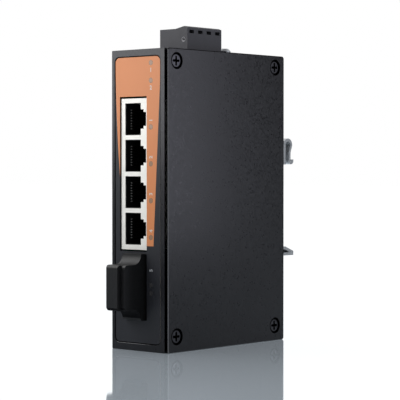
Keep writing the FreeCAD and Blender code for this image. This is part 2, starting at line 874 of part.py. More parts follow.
def make_fibre_port():
    """A duplex transceiver with two receptacles, a sleeve in each, and the pins it stands on."""
    case = block(
        "module_block",
        ("Dim.module_left", MODULE_FACE, "Dim.module_low"),
        ("Dim.module_right", f"{MODULE_FACE} + Dim.module_length", "Dim.module_high"),
    )
    floor = f"{MODULE_FACE} + Dim.bore_depth"
    bores = []
    sleeves = []
    for number, up in enumerate(receptacle_spots(), start=1):
        bores.append(block(
            f"receptacle_{number}",
            (f"{MODULE_MIDDLE} - Dim.bore_wide / 2", MODULE_FACE, f"{up} - Dim.bore_tall / 2"),
            (f"{MODULE_MIDDLE} + Dim.bore_wide / 2", floor, f"{up} + Dim.bore_tall / 2"),
        ))
        root = (MODULE_MIDDLE, f"{floor} - Dim.sleeve_length", up)
        tube = rod(f"sleeve_{number}_tube", root, "+y", "Dim.sleeve_out", "Dim.sleeve_length")
        hole = rod(f"sleeve_{number}_hole", root, "+y", "Dim.sleeve_in", "Dim.sleeve_length")
        sleeves.append(cut(f"sleeve_{number}", tube, [hole]))
    node("fibre_transceiver", cut("fibre_transceiver", case, bores))
    node("fibre_sleeves", group("fibre_sleeves", sleeves))
    half = "Dim.module_pin_side / 2"
    end = f"{BOARD_BACK} - Dim.solder_out"
    pins = [
        block(
            f"fibre_pin_{number}",
            (end, f"{MODULE_PIN_ROW} - {half}", f"{up} - {half}"),
            ("Dim.module_left", f"{MODULE_PIN_ROW} + {half}", f"{up} + {half}"),
        )
        for number, up in enumerate(module_pin_spots(), start=1)
    ]
    for number, (along, up) in enumerate(module_post_spots(), start=1):
        reach = f"Dim.module_left - ({end})"
        pins.append(rod(f"fibre_post_{number}", (end, along, up), "+x", "Dim.module_post", reach))
    return node("fibre_pins", group("fibre_pins", pins))


def make_dust_plug():
    """A soft moulded plug: base plate, scooped finger grips, flange and rounded head, two stubs."""
    plug = body("dust_plug")
    level = "Dim.plug_middle"
    base = rectangle(
        sketch(plug, "base_outline", "XZ_Plane", f"-({MODULE_FACE})"),
        "Dim.plug_left", f"{level} - Dim.plug_half", "Dim.plug_right", f"{level} + Dim.plug_half",
    )
    pad(plug, "base_plate", base, f"{MODULE_FACE} - ({FRONT}) + Dim.plug_base")
    waist = rectangle(
        sketch(plug, "waist_outline", "XZ_Plane", f"-({FRONT})"),
        "Dim.plug_left", f"{level} - Dim.grip_half", "Dim.plug_right", f"{level} + Dim.grip_half",
    )
    pad(plug, "grip", waist, "Dim.grip_reach")
    face = value(f"{FRONT} - Dim.plug_base")
    grip = value("Dim.grip_half")
    centre = value(level)
    dress(
        plug, "Fillet", "scoops", "Dim.plug_scoop",
        lambda box: along_x(box) and near(box.YMin, face) and near(abs(box.ZMin - centre), grip),
    )
    outer = value(f"{FRONT} - Dim.grip_reach")
    dress(
        plug, "Fillet", "grip_corners", "Dim.plug_round",
        lambda box: along_x(box) and near(box.YMin, outer),
    )
    middle = "(Dim.plug_left + Dim.plug_right) / 2"
    head = rectangle(
        sketch(plug, "head_outline", "XZ_Plane", f"-({FRONT} - Dim.grip_reach + Dim.plug_round)"),
        f"{middle} - Dim.plug_head / 2", f"{level} - Dim.grip_half",
        f"{middle} + Dim.plug_head / 2", f"{level} + Dim.grip_half",
    )
    pad(plug, "head", head, "Dim.plug_reach - Dim.grip_reach + Dim.plug_round")
    nose = value(f"{FRONT} - Dim.plug_reach")
    dress(
        plug, "Fillet", "head_corners", "Dim.plug_round",
        lambda box: along_x(box) and near(box.YMin, nose),
    )
    stubs = sketch(plug, "stub_outlines", "XZ_Plane", f"-({MODULE_FACE})")
    for up in receptacle_spots():
        ring(stubs, MODULE_MIDDLE, up, "Dim.stub_out")
        ring(stubs, MODULE_MIDDLE, up, "Dim.stub_in")
    pad(plug, "stubs", stubs, "Dim.stub_length", Reversed=True)
    return node("dust_plug", plug)


# ---------------------------------------------------------------- supply terminal

def make_header():
    """The socket that stands on the board and comes out through the top wall."""
    header = body("terminal_header")
    trunk = rectangle(
        sketch(header, "trunk_outline", "XY_Plane", "Dim.header_low"),
        "Dim.header_left", "Dim.header_front", "Dim.header_right", "Dim.header_back",
    )
    pad(header, "trunk", trunk, f"{PLUG_UNDERSIDE} - Dim.header_low")
    shroud = rectangle(
        sketch(header, "shroud_outline", "XY_Plane", PLUG_UNDERSIDE),
        "Dim.shroud_left", "Dim.shroud_front", "Dim.shroud_right", "Dim.block_back",
    )
    pocket(header, "shroud", shroud, f"{PLUG_UNDERSIDE} - Dim.shroud_floor")
    holes = sketch(header, "pin_hole_outlines", "XY_Plane", "Dim.shroud_floor")
    for pole in range(POLES):
        rectangle(
            holes,
            "Dim.pin_left", f"{pole_middle(pole)} - Dim.pin_side / 2",
            "Dim.pin_left + Dim.pin_side", f"{pole_middle(pole)} + Dim.pin_side / 2",
        )
    pocket(header, "pin_holes", holes, "Dim.shroud_floor - Dim.header_low")
    return node("terminal_header", header)


def make_header_pins():
    """Square pins that stand in the socket and turn to the board below it."""
    pins = []
    end = f"{BOARD_BACK} - Dim.solder_out"
    for pole in range(POLES):
        low = f"{pole_middle(pole)} - Dim.pin_side / 2"
        high = f"{pole_middle(pole)} + Dim.pin_side / 2"
        upright = block(
            f"pin_{pole + 1}_upright",
            ("Dim.pin_left", low, "Dim.pin_low"), ("Dim.pin_left + Dim.pin_side", high, "Dim.pin_high"),
        )
        tail = block(
            f"pin_{pole + 1}_tail",
            (end, low, "Dim.pin_low"), ("Dim.pin_left", high, "Dim.pin_low + Dim.pin_side"),
        )
        pins.append(fuse(f"pin_{pole + 1}", [upright, tail]))
    return node("header_pins", group("header_pins", pins))


def make_terminal_plug():
    """The moulded plug: a ridged block with an ejector dimple, a nose below and four hollow poles."""
    plug = body("terminal_plug")
    profile = polygon(
        sketch(plug, "block_profile", "XZ_Plane", "-Dim.block_back"),
        (
            ("Dim.block_left", PLUG_UNDERSIDE),
            ("Dim.block_right", PLUG_UNDERSIDE),
            ("Dim.block_right", "Dim.block_edge"),
            ("Dim.ridge_right", "Dim.ridge_high"),
            ("Dim.ridge_left", "Dim.ridge_high"),
            ("Dim.ridge_foot", "Dim.block_high"),
            ("Dim.block_left", "Dim.block_high"),
        ),
    )
    pad(plug, "block", profile, "Dim.block_back - Dim.block_front")
    nose = rectangle(
        sketch(plug, "nose_outline", "XY_Plane", PLUG_UNDERSIDE),
        "Dim.shroud_left + Dim.plug_play", "Dim.shroud_front + Dim.plug_play / 2",
        "Dim.shroud_right - Dim.plug_play", "Dim.block_back - Dim.plug_play",
    )
    pad(plug, "nose", nose, f"{PLUG_UNDERSIDE} - Dim.nose_low", Reversed=True)

    socket = sketch(plug, "socket_outlines", "XY_Plane", "Dim.room_low")
    room = sketch(plug, "room_outlines", "XY_Plane", "Dim.room_high")
    entry = sketch(plug, "entry_outlines", "XY_Plane", "Dim.ridge_high")
    bore = sketch(plug, "bore_outlines", "YZ_Plane", "Dim.block_left")
    neck = sketch(plug, "neck_outlines", "YZ_Plane", "Dim.block_left")
    window = sketch(plug, "window_outlines", "YZ_Plane", "Dim.block_right")
    for pole in range(POLES):
        at = pole_middle(pole)
        low, high = (f"{at} - Dim.socket_half", f"{at} + Dim.socket_half")
        rectangle(socket, "Dim.leaf_left - Dim.plug_play", low, "Dim.bar_left + Dim.bar_thick", high)
        low, high = (f"{at} - Dim.entry_half", f"{at} + Dim.entry_half")
        rectangle(entry, "Dim.entry_left", low, "Dim.entry_right", high)
        low, high = (f"{at} - Dim.room_half", f"{at} + Dim.room_half")
        rectangle(room, "Dim.room_left", low, "Dim.room_right", high)
        low, high = (f"{at} - Dim.window_half", f"{at} + Dim.window_half")
        rectangle(window, low, "Dim.window_low", high, "Dim.window_high")
        ring(bore, at, "Dim.clamp_axis", "Dim.clamp_bore")
        ring(neck, at, "Dim.clamp_axis", "Dim.clamp_shank + Dim.plug_play")
    pocket(plug, "sockets", socket, "Dim.room_low - Dim.nose_low")
    pocket(plug, "rooms", room, "Dim.room_high - Dim.room_low")
    pocket(plug, "entries", entry, "Dim.ridge_high - Dim.room_high")
    pocket(plug, "bores", bore, "Dim.clamp_seat - Dim.block_left", Reversed=True)
    pocket(plug, "necks", neck, "Dim.room_left - Dim.block_left", Reversed=True)
    pocket(plug, "windows", window, "Dim.window_depth")

    dimple = ring(
        sketch(plug, "dimple_outline", "XZ_Plane", "-Dim.block_front"),
        "Dim.dimple_across", "Dim.dimple_up", "Dim.dimple_hole",
    )
    pocket(plug, "dimple", dimple, "Dim.dimple_depth")
    end, wide = value("Dim.block_front"), value("2 * Dim.dimple_hole")
    dress(
        plug, "Chamfer", "dimple_mouth", "Dim.dimple_rim",
        lambda box: near(box.YMin, end) and near(box.YMax, end) and near(box.XLength, wide),
    )
    return node("terminal_plug", plug)


def make_plug_contacts():
    """Each pole's contact: a current bar, and a leaf bridged to it that grips the pin."""
    bridge_high = "Dim.bridge_low + Dim.bridge_thick"
    contacts = []
    for pole in range(POLES):
        low = f"{pole_middle(pole)} - Dim.bar_half"
        high = f"{pole_middle(pole)} + Dim.bar_half"
        name = f"contact_{pole + 1}"
        contacts.append(fuse(name, [
            block(
                f"{name}_bar",
                ("Dim.bar_left", low, "Dim.bar_low"), ("Dim.bar_left + Dim.bar_thick", high, "Dim.bar_high"),
            ),
            block(
                f"{name}_leaf",
                ("Dim.leaf_left", low, "Dim.bar_low"), ("Dim.leaf_left + Dim.leaf_thick", high, bridge_high),
            ),
            block(
                f"{name}_bridge",
                ("Dim.leaf_left", low, "Dim.bridge_low"), ("Dim.bar_left", high, bridge_high),
            ),
        ]))
    return node("plug_contacts", group("plug_contacts", contacts))


def make_clamp(pole):
    """One pole's slotted screw and the cage that it draws against the current bar."""
    at = pole_middle(pole)
    name = f"clamp_screw_{pole + 1}"
    axis = "Dim.clamp_axis"
    face = "Dim.clamp_seat - Dim.clamp_head_long"
    head = rod(f"{name}_head", (face, at, axis), "+x", "Dim.clamp_head", "Dim.clamp_head_long")
    reach = f"Dim.bar_left - Dim.clamp_gap - ({face})"
    shank = rod(f"{name}_shank", (face, at, axis), "+x", "Dim.clamp_shank", reach)
    slot = block(
        f"{name}_slot",
        (face, f"{at} - Dim.clamp_head", f"{axis} - Dim.clamp_slot / 2"),
        (f"{face} + Dim.clamp_head_long / 2", f"{at} + Dim.clamp_head", f"{axis} + Dim.clamp_slot / 2"),
    )
    node(name, cut(name, fuse(f"{name}_blank", [head, shank]), [slot]))

    name = f"wire_clamp_{pole + 1}"
    outer = block(
        f"{name}_outer",
        ("Dim.cage_left", f"{at} - Dim.cage_half", "Dim.cage_low"),
        ("Dim.cage_right", f"{at} + Dim.cage_half", "Dim.cage_high"),
    )
    way = block(
        f"{name}_way",
        ("Dim.cage_left + Dim.cage_wall", f"{at} - Dim.cage_half + Dim.cage_side", "Dim.cage_low"),
        ("Dim.cage_right - Dim.cage_foot", f"{at} + Dim.cage_half - Dim.cage_side", "Dim.cage_high"),
    )
    foot = ("Dim.cage_left", at, axis)
    thread = rod(f"{name}_thread", foot, "+x", "Dim.clamp_shank + Dim.clamp_play", "Dim.cage_wall")
    return node(name, cut(name, outer, [way, thread]))


# ---------------------------------------------------------------- earth screw

def make_earth_screw():
    """A pan head screw on the top wall, and the hexagon nut under the wall."""
    spot = ("Dim.earth_across", "Dim.earth_along")
    shoulder = f"{TOP} + Dim.earth_side_tall"
    crown_top = (*spot, f"{shoulder} + Dim.earth_crown_tall")
    side = rod("earth_side", (*spot, TOP), "+z", "Dim.earth_head", "Dim.earth_side_tall")
    crown = cone(
        "earth_crown", (*spot, shoulder), "+z", "Dim.earth_head", "Dim.earth_crown", "Dim.earth_crown_tall")
    end = (*spot, f"{TOP} - Dim.screw_length")
    shank = rod("earth_shank", end, "+z", "Dim.screw_shank", "Dim.screw_length + Dim.sheet")
    blank = fuse("earth_blank", [side, crown, shank])
    node("earth_screw", cut("earth_screw", blank, [cross_recess("earth", crown_top, "-z")]))
    foot = (*spot, f"{TOP} - Dim.sheet - Dim.nut_tall")
    return node("earth_nut", bored_nut("earth_nut", foot, "+z"))


def bored_nut(name, foot, way):
    """A hexagon nut with a plain bore."""
    outside = hexagon(f"{name}_outside", foot, way, "Dim.nut_radius", "Dim.nut_tall")
    hole = rod(f"{name}_hole", foot, way, "Dim.screw_shank + Dim.thread_gap", "Dim.nut_tall")
    return cut(name, outside, [hole])


# ---------------------------------------------------------------- rail clip

def make_clip_plate():
    """A zinc-plated plate: wedge hook folded at its foot, and a jogged tongue at its top."""
    plate = body("rail_plate")
    skin = "Dim.clip_sheet"
    jog_high = "Dim.jog_start + Dim.jog_rise"
    profile = polygon(
        sketch(plate, "plate_profile", "YZ_Plane", "-Dim.clip_half"),
        (
            (BACK, "Dim.clip_low"),
            (f"{BACK} + Dim.hook_tip", "Dim.clip_low"),
            (f"{BACK} + Dim.hook_tip", "Dim.hook_tip_high"),
            (f"{BACK} + Dim.hook_crest_far", "Dim.hook_crest"),
            (f"{BACK} + Dim.hook_crest_near", "Dim.hook_crest"),
            (f"{BACK} + Dim.hook_crest_near", f"Dim.hook_crest - {skin}"),
            (f"{BACK} + Dim.hook_crest_far", f"Dim.hook_crest - {skin}"),
            (f"{BACK} + Dim.hook_tip - 2 * {skin}", f"Dim.clip_low + {skin}"),
            (CLIP_FACE, f"Dim.clip_low + {skin}"),
            (CLIP_FACE, "Dim.jog_start"),
            (f"{CLIP_FACE} + Dim.jog_reach", jog_high),
            (f"{CLIP_FACE} + Dim.jog_reach", "Dim.clip_high"),
            (f"{BACK} + Dim.jog_reach", "Dim.clip_high"),
            (f"{BACK} + Dim.jog_reach", f"{jog_high} + Dim.jog_lift"),
            (BACK, "Dim.jog_start + Dim.jog_lift"),
        ),
    )
    pad(plate, "folded_plate", profile, "2 * Dim.clip_half")
    holes = sketch(plate, "plate_hole_outlines", "XZ_Plane", f"-({CLIP_FACE})")
    hole = "Dim.screw_shank + Dim.screw_play"
    for across, up in clip_screw_spots():
        ring(holes, across, up, hole)
    pocket(plate, "plate_holes", holes, skin, Reversed=True)
    face, radius = value(CLIP_FACE), value(hole)
    dress(
        plate, "Chamfer", "plate_sinks", f"Dim.clip_screw_head - ({hole})",
        lambda box: near(box.YMin, face) and near(box.YMax, face) and near(box.XLength, 2 * radius),
    )
    rivets = sketch(plate, "rivet_hole_outlines", "XZ_Plane", f"-({CLIP_FACE} + Dim.jog_reach)")
    for side in (-1, 1):
        ring(rivets, f"{side} * Dim.rivet_across", "Dim.rivet_high", "Dim.rivet_shank")
    pocket(plate, "rivet_holes", rivets, skin, Reversed=True)
    return node("rail_plate", plate)


def make_clip_spring():
    """A stiff strip: leg on the plate's tongue, loop over the top, free leg with a hemmed edge."""
    back = value(BACK)
    skin = value("Dim.clip_sheet")
    leg = back + skin + value("Dim.jog_reach")
    loop = value("Dim.spring_loop")
    bend = value("Dim.spring_bend")
    low = value("Dim.spring_low")
    waist = back + value("Dim.spring_waist")
    waist_high = value("Dim.spring_waist_high")
    inner = value("Dim.hem_inside")
    outer = inner + skin
    hem = value("Dim.hem_centre")
    hem_high = value("Dim.hem_high")
    middle = waist + outer
    half = value("Dim.clip_half")

    def spot(along, up):
        return Vector(-half, along, up)

    def line(start, end):
        return Part.LineSegment(spot(*start), spot(*end))

    def arc(start, through, end):
        return Part.Arc(spot(*start), spot(*through), spot(*end))

    centre = leg + loop
    run = [
        line((leg, low), (leg, bend)),
        arc((leg, bend), (centre, bend + loop), (centre + loop, bend)),
        line((centre + loop, bend), (waist + skin, waist_high)),
        line((waist + skin, waist_high), (waist + skin, hem)),
        arc((waist + skin, hem), (middle, hem - inner), (middle + inner, hem)),
        line((middle + inner, hem), (middle + inner, hem_high)),
        line((middle + inner, hem_high), (middle + outer, hem_high)),
        line((middle + outer, hem_high), (middle + outer, hem)),
        arc((middle + outer, hem), (middle, hem - outer), (waist, hem)),
        line((waist, hem), (waist, waist_high)),
        line((waist, waist_high), (centre + loop - skin, bend)),
        arc((centre + loop - skin, bend), (centre, bend + loop - skin), (leg + skin, bend)),
        line((leg + skin, bend), (leg + skin, low)),
        line((leg + skin, low), (leg, low)),
    ]
    wire = Part.Wire([curve.toShape() for curve in run])
    strip = Part.Face(wire).extrude(Vector(2 * half, 0, 0))
    across = value("Dim.rivet_across")
    for side in (-1, 1):
        foot = Vector(side * across, leg, value("Dim.rivet_high"))
        strip = strip.cut(Part.makeCylinder(value("Dim.rivet_shank"), skin, foot, Vector(0, 1, 0)))
    return node("rail_spring", formed("rail_spring", strip))


def make_clip_rivets():
    rivets = []
    front = f"{BACK} + Dim.jog_reach"
    reach = "2 * Dim.clip_sheet + 2 * Dim.rivet_head_tall"
    for number, side in enumerate((-1, 1), start=1):
        name = f"rivet_{number}"
        spot = (f"{side} * Dim.rivet_across", "Dim.rivet_high")
        start = (spot[0], f"{front} - Dim.rivet_head_tall", spot[1])
        far = (spot[0], f"{front} + 2 * Dim.clip_sheet", spot[1])
        rivets.append(fuse(name, [
            rod(f"{name}_front", start, "+y", "Dim.rivet_head", "Dim.rivet_head_tall"),
            rod(f"{name}_shank", start, "+y", "Dim.rivet_shank", reach),
            rod(f"{name}_back", far, "+y", "Dim.rivet_head", "Dim.rivet_head_tall"),
        ]))
    return node("rail_rivets", group("rail_rivets", rivets))


def make_clip_screws():
    """Flush screws through the plate and the back wall, each in a hexagon nut."""
    screws = []
    nuts = []
    throat = "Dim.screw_shank + Dim.screw_play"
    taper = f"Dim.clip_screw_head - ({throat})"
    for number, (across, up) in enumerate(clip_screw_spots(), start=1):
        name = f"clip_screw_{number}"
        spot = (across, CLIP_FACE, up)
        head = cone(f"{name}_head", spot, "-y", "Dim.clip_screw_head", throat, taper)
        shank = rod(f"{name}_shank", spot, "-y", "Dim.screw_shank", "Dim.screw_length")
        blank = fuse(f"{name}_blank", [head, shank])
        screws.append(cut(name, blank, [cross_recess(name, spot, "-y")]))
        nuts.append(bored_nut(f"clip_nut_{number}", (across, f"{BACK} - Dim.sheet", up), "-y"))
    node("rail_plate_screws", group("rail_plate_screws", screws))
    return node("rail_plate_nuts", group("rail_plate_nuts", nuts))


# ---------------------------------------------------------------- electronics

def make_board():
    """The circuit board, upright beside the left wall, bored for its screws and through pins."""
    plate = block(
        "board_plate",
        (BOARD_BACK, BOARD_FRONT_EDGE, "Dim.board_low"), (BOARD_FACE, BOARD_BACK_EDGE, "Dim.board_high"),
    )
    holes = [
        rod(f"board_hole_{number}", (BOARD_BACK, along, up), "+x", "Dim.board_hole", "Dim.board_thick")
        for number, (along, up) in enumerate(board_hole_spots(), start=1)
    ]
    for pole in range(POLES):
        middle = pole_middle(pole)
        holes.append(block(
            f"board_pin_hole_{pole + 1}",
            (BOARD_BACK, f"{middle} - Dim.pin_side / 2", "Dim.pin_low"),
            (BOARD_FACE, f"{middle} + Dim.pin_side / 2", "Dim.pin_low + Dim.pin_side"),
        ))
    half = "Dim.module_pin_side / 2"
    lowest, *_, highest = module_pin_spots()
    holes.append(block(
        "board_fibre_slot",
        (BOARD_BACK, f"{MODULE_PIN_ROW} - {half}", f"{lowest} - {half}"),
        (BOARD_FACE, f"{MODULE_PIN_ROW} + {half}", f"{highest} + {half}"),
    ))
    for number, (along, up) in enumerate(module_post_spots(), start=1):
        bore = "Dim.module_post + Dim.thread_gap"
        holes.append(rod(f"board_post_hole_{number}", (BOARD_BACK, along, up), "+x", bore, "Dim.board_thick"))
    return node("main_board", cut("main_board", plate, holes))


def make_board_fixings():
    """Hexagon posts on the left wall, and the hexagon screws that hold the board on them."""
    posts = []
    screws = []
    height = f"{BOARD_BACK} - ({POST_ROOT})"
    for number, (along, up) in enumerate(board_hole_spots(), start=1):
        root = (POST_ROOT, along, up)
        post = hexagon(f"post_{number}_body", root, "+x", "Dim.post_radius", height)
        hole = rod(f"post_{number}_hole", root, "+x", "Dim.screw_shank + Dim.thread_gap", height)
        posts.append(cut(f"post_{number}", post, [hole]))
        name = f"board_screw_{number}"
        end = f"{POST_ROOT} + Dim.board_screw_end"
        shank = rod(f"{name}_shank", (end, along, up), "+x", "Dim.screw_shank", f"{BOARD_FACE} - ({end})")
        top = (BOARD_FACE, along, up)
        head = hexagon(f"{name}_head", top, "+x", "Dim.board_screw_head", "Dim.board_screw_head_tall")
        screws.append(fuse(name, [shank, head]))
    node("board_posts", group("board_posts", posts))
    return node("board_screws", group("board_screws", screws))


def on_board(name, along, up, long, high, tall):
    """A block-shaped part soldered flat on the board, placed by its middle."""
    return block(
        name,
        (BOARD_FACE, f"{along} - {long} / 2", f"{up} - {high} / 2"),
        (f"{BOARD_FACE} + {tall}", f"{along} + {long} / 2", f"{up} + {high} / 2"),
    )


def make_chips():
    """Plain packages on the board: switch chip, port transformers and the supply's parts."""
    node("switch_chip", on_board(
        "switch_chip", "Dim.chip_along", "Dim.chip_up", "Dim.chip_side", "Dim.chip_side", "Dim.chip_tall"))
    transformers = [
        on_board(
            f"transformer_{number + 1}",
            "Dim.transformer_along", f"(Dim.transformer_up + {number} * Dim.transformer_pitch)",
            "Dim.transformer_long", "Dim.transformer_high", "Dim.transformer_tall",
        )
        for number in range(PORTS)
    ]
    node("port_transformers", group("port_transformers", transformers))
    node("power_inductor", on_board(
        "power_inductor", "Dim.inductor_along", "Dim.inductor_up",
        "Dim.inductor_side", "Dim.inductor_side", "Dim.inductor_tall",
    ))
    node("power_regulator", on_board(
        "power_regulator", "Dim.regulator_along", "Dim.regulator_up",
        "Dim.regulator_long", "Dim.regulator_high", "Dim.regulator_tall",
    ))
    node("clock_crystal", on_board(
        "clock_crystal", "Dim.crystal_along", "Dim.crystal_up",
        "Dim.crystal_long", "Dim.crystal_high", "Dim.crystal_tall",
    ))
    cans = []
    for number in range(2):
        foot = (BOARD_FACE, "Dim.can_along", f"Dim.can_up + {number} * Dim.can_pitch")
        cans.append(rod(f"capacitor_{number + 1}", foot, "+x", "Dim.can_radius", "Dim.can_tall"))
    return node("power_capacitors", group("power_capacitors", cans))


def make_lamp_link():
    """The angled pin header that joins the lamp board to the main board."""
    back = f"{LAMP_BOARD_FACE} + Dim.lamp_board_thick"
    top = "Dim.link_low + Dim.link_tall"
    shell = block(
        "lamp_link_shell",
        (BOARD_FACE, back, "Dim.link_low"), (f"{BOARD_FACE} + Dim.link_side", f"{back} + Dim.link_side", top),
    )
    wires = []
    for number in range(LINK_WIRES):
        low = f"Dim.link_low + Dim.link_wire + {number} * Dim.link_pitch"
        wires.append(block(
            f"lamp_link_wire_{number + 1}",
            (BOARD_FACE, back, low), ("Dim.link_end", f"{back} + Dim.link_wire", f"{low} + Dim.link_wire"),
        ))
    return node("lamp_link", fuse("lamp_link", [shell, *wires]))


# ---------------------------------------------------------------- build, check and write

make_chassis()
make_side_cover()
make_cover_screws()
make_front_label()
make_lamps()
make_lamp_board()
make_jack()
make_contacts()
make_fibre_port()
make_dust_plug()
make_header()
make_header_pins()
make_terminal_plug()
make_plug_contacts()
for pole in range(POLES):
    make_clamp(pole)
make_earth_screw()
make_clip_plate()
make_clip_spring()
make_clip_rivets()
make_clip_screws()
make_board()
make_board_fixings()
make_chips()
make_lamp_link()
doc.recompute()

for item in doc.Objects:
    if "Invalid" in item.State or "Error" in item.State:
        raise RuntimeError(f"{item.Name} failed to build: {item.State}")
os.makedirs("parts", exist_ok=True)
for piece in nodes:
    if piece.Shape.isNull() or not piece.Shape.isValid() or not piece.Shape.Solids:
        raise RuntimeError(f"{piece.Label} is not a valid solid")
    piece.Shape.exportStep(f"parts/{piece.Label}.step")
    print(f"{piece.Label}: {len(piece.Shape.Solids)} solid(s), {piece.Shape.Volume:.1f} mm3")
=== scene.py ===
import math

import bpy
from bpy.props import FloatProperty, FloatVectorProperty, PointerProperty
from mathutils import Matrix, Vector


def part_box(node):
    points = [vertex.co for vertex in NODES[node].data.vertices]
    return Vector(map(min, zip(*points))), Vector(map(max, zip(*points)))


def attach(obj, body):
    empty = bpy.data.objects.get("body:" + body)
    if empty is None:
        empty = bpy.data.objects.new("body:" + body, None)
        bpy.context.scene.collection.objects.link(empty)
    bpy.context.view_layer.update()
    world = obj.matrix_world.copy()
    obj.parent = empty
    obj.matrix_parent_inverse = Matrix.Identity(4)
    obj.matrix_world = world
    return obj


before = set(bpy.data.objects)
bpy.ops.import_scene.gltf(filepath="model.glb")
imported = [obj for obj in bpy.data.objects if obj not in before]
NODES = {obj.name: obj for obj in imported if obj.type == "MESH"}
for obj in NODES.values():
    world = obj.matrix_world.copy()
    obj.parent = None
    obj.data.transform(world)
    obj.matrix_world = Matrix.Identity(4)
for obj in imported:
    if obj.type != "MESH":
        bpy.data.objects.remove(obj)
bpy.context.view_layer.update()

bl_info = {
    "name": "Rail Mounted Network Switch",
    "version": (1, 0, 0),
    "blender": (4, 5, 0),
    "location": "3D View > Sidebar > Network Switch",
    "description": "Finishes, prints and lights a slim rail mounted network switch",
    "category": "Object",
}

MM = 0.001
POLES = 4
PORTS = 4

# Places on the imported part, in its own frame: X is across the front, Y goes back and Z goes up.
PORT_PITCH = 13.97 * MM
LOWEST_PORT = 46.6 * MM
SUPPLY_LAMPS = (109.7 * MM, 103.0 * MM)
LAMP_COLUMN = 5.9 * MM
FILM_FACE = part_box("front_label")[0].y

# The case: where the pressed field round the label lies, the groove beside the cover, and the cover, and
# where the left bend starts, with the turns of its normal between which it comes to look flat.
PRESSED_FIELD = {"X": (-13.2 * MM, 12.8 * MM), "Y": (-34.85 * MM, -33.9 * MM), "Z": (2.5 * MM, 112.7 * MM)}
GROOVE = (12.9 * MM, 14.66 * MM)
COVER_INSIDE = 13.9 * MM
LEFT_BEND = -12.9 * MM
BEND_TURN = (-0.4, -0.62)

# The product of two parts of a normal beyond which a face leans between their axes.
LEANING = 0.2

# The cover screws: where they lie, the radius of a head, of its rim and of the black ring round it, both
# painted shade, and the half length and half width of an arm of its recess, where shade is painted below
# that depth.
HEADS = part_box("cover_screws")
HEAD_RADIUS = 2.6 * MM
HEAD_RIM = 2.3 * MM
HEAD_RING = 3.25 * MM
CROSS_ARM = (1.7 * MM, 0.5 * MM)
CROSS_DEPTH = 0.08 * MM

# A port contact's root is left of and in front of these places.
CONTACT_ROOT = {"X": -7.25 * MM, "Y": -31.0 * MM}

# The dust plug: the X of its parting line, and the part of a normal under which a face is its underside,
# where shade is painted.
PARTING_LINE = (-1.98 * MM, -1.84 * MM)
UNDERSIDE = -0.15

# The test hole in the supply plug: its middle, the radii of the rim on which a highlight is painted, and its
# face.
DIMPLE = {"X": 5.94 * MM, "Z": 119.54 * MM}
DIMPLE_RIM = (0.4 * MM, 0.95 * MM)
DIMPLE_FACE = -15.7 * MM

# The print on the film. A side of the orange field is its X at the top and at the bottom, and its bow. The
# windows are cut between those places across, and the numerals stand so far below their port or lamp.
ORANGE_LOW = 40.2 * MM
ORANGE_HIGH = 112.2 * MM
ORANGE_LEFT = (-12.6 * MM, -7.0 * MM, -1.35 * MM)
ORANGE_RIGHT = (11.15 * MM, 7.22 * MM, 0.0)
WINDOWS = (-11.0 * MM, 10.0 * MM)
NUMERAL_COLUMN = 6.0 * MM
FIBRE_NUMERAL = 31.0 * MM
BELOW_PORT = 0.6 * MM
BELOW_LAMP = 2.8 * MM
INK_DEPTH = 0.01 * MM
INK_SPREAD = 0.05 * MM
READING_UP = -math.pi / 2

# The camera, and the way from the object to the middle of its backdrop.
LENS = 147.9
SENSOR = 36.0
NEAREST = 0.01
EYE = (0.4298338, -0.4904589, 0.0707456)
EYE_DOWN = 0.0209
EYE_ROUND = 0.7194
BACKDROP = (-0.6588, 0.7523, 0.0)


def linear(code):
    """The linear colour of an sRGB hex value such as #1c1c1e."""
    parts = [int(code[place:place + 2], 16) / 255 for place in (1, 3, 5)]
    return tuple(part / 12.92 if part <= 0.04045 else ((part + 0.055) / 1.055) ** 2.4 for part in parts)


def colour(title, use, code):
    """A colour that a user may change, whose default is an sRGB hex value."""
    return FloatVectorProperty(
        name=title, description=use, subtype="COLOR", size=3, min=0, max=1, default=linear(code))


def length(title, use, size):
    """A length that a user may change, whose default is in millimetres."""
    return FloatProperty(
        name=title, description=use, unit="LENGTH", subtype="DISTANCE", min=0, default=size * MM)


def share(title, use, value):
    """A number from 0 to 1 that a user may change."""
    return FloatProperty(name=title, description=use, subtype="FACTOR", min=0, max=1, default=value)


def level(title, use, value):
    """A brightness that a user may change, where the white backdrop is 1."""
    return FloatProperty(name=title, description=use, min=0, default=value)


class CaseFinish(bpy.types.PropertyGroup):
    """Colours of the painted case, its screws and its rail clip"""
    paint: colour("Paint", "Powder coat on the case and its cover", "#0e0e12")
    # Painted shade: near black, on the cover's groove, top edge and screw rings, and the gaps round label
    # and ports.
    joint: colour("Joint", "Dark joints round the cover and its screws", "#040405")
    gloss: share("Roughness", "Roughness of the powder coat", 0.36)
    peel: length("Orange peel", "Distance between the waves of the powder coat", 0.9)
    # A painted highlight: a pale line on the slant of the cover's front edge, where it catches the light.
    worn: colour("Worn edge", "Where the powder thins over the cover's front edge", "#656669")
    oxide: colour("Black oxide", "Blackened cover screws", "#5c5c61")
    zinc: colour("Zinc", "Zinc plate on the clip and the small screws", "#c3c6c9")


class LabelFinish(bpy.types.PropertyGroup):
    """Colours and figures printed on the front label"""
    field: colour("Field", "Printed colour round the copper ports", "#cf8353")
    ground: colour("Ground", "Printed colour of the rest of the label", "#2b2c31")
    # Painted light: the film's cut edge is a pale highlight, and black shade in the port windows.
    edge: colour("Film", "Cut edge of the clear film", "#a9a49d")
    ink: colour("Ink", "Numerals on the field", "#cfcac4")
    pale_ink: colour("Pale ink", "Numerals on the ground", "#a9acb0")
    gloss: share("Roughness", "Roughness of the film's face", 0.41)
    numeral: length("Numeral height", "Height of a printed numeral", 2.2)


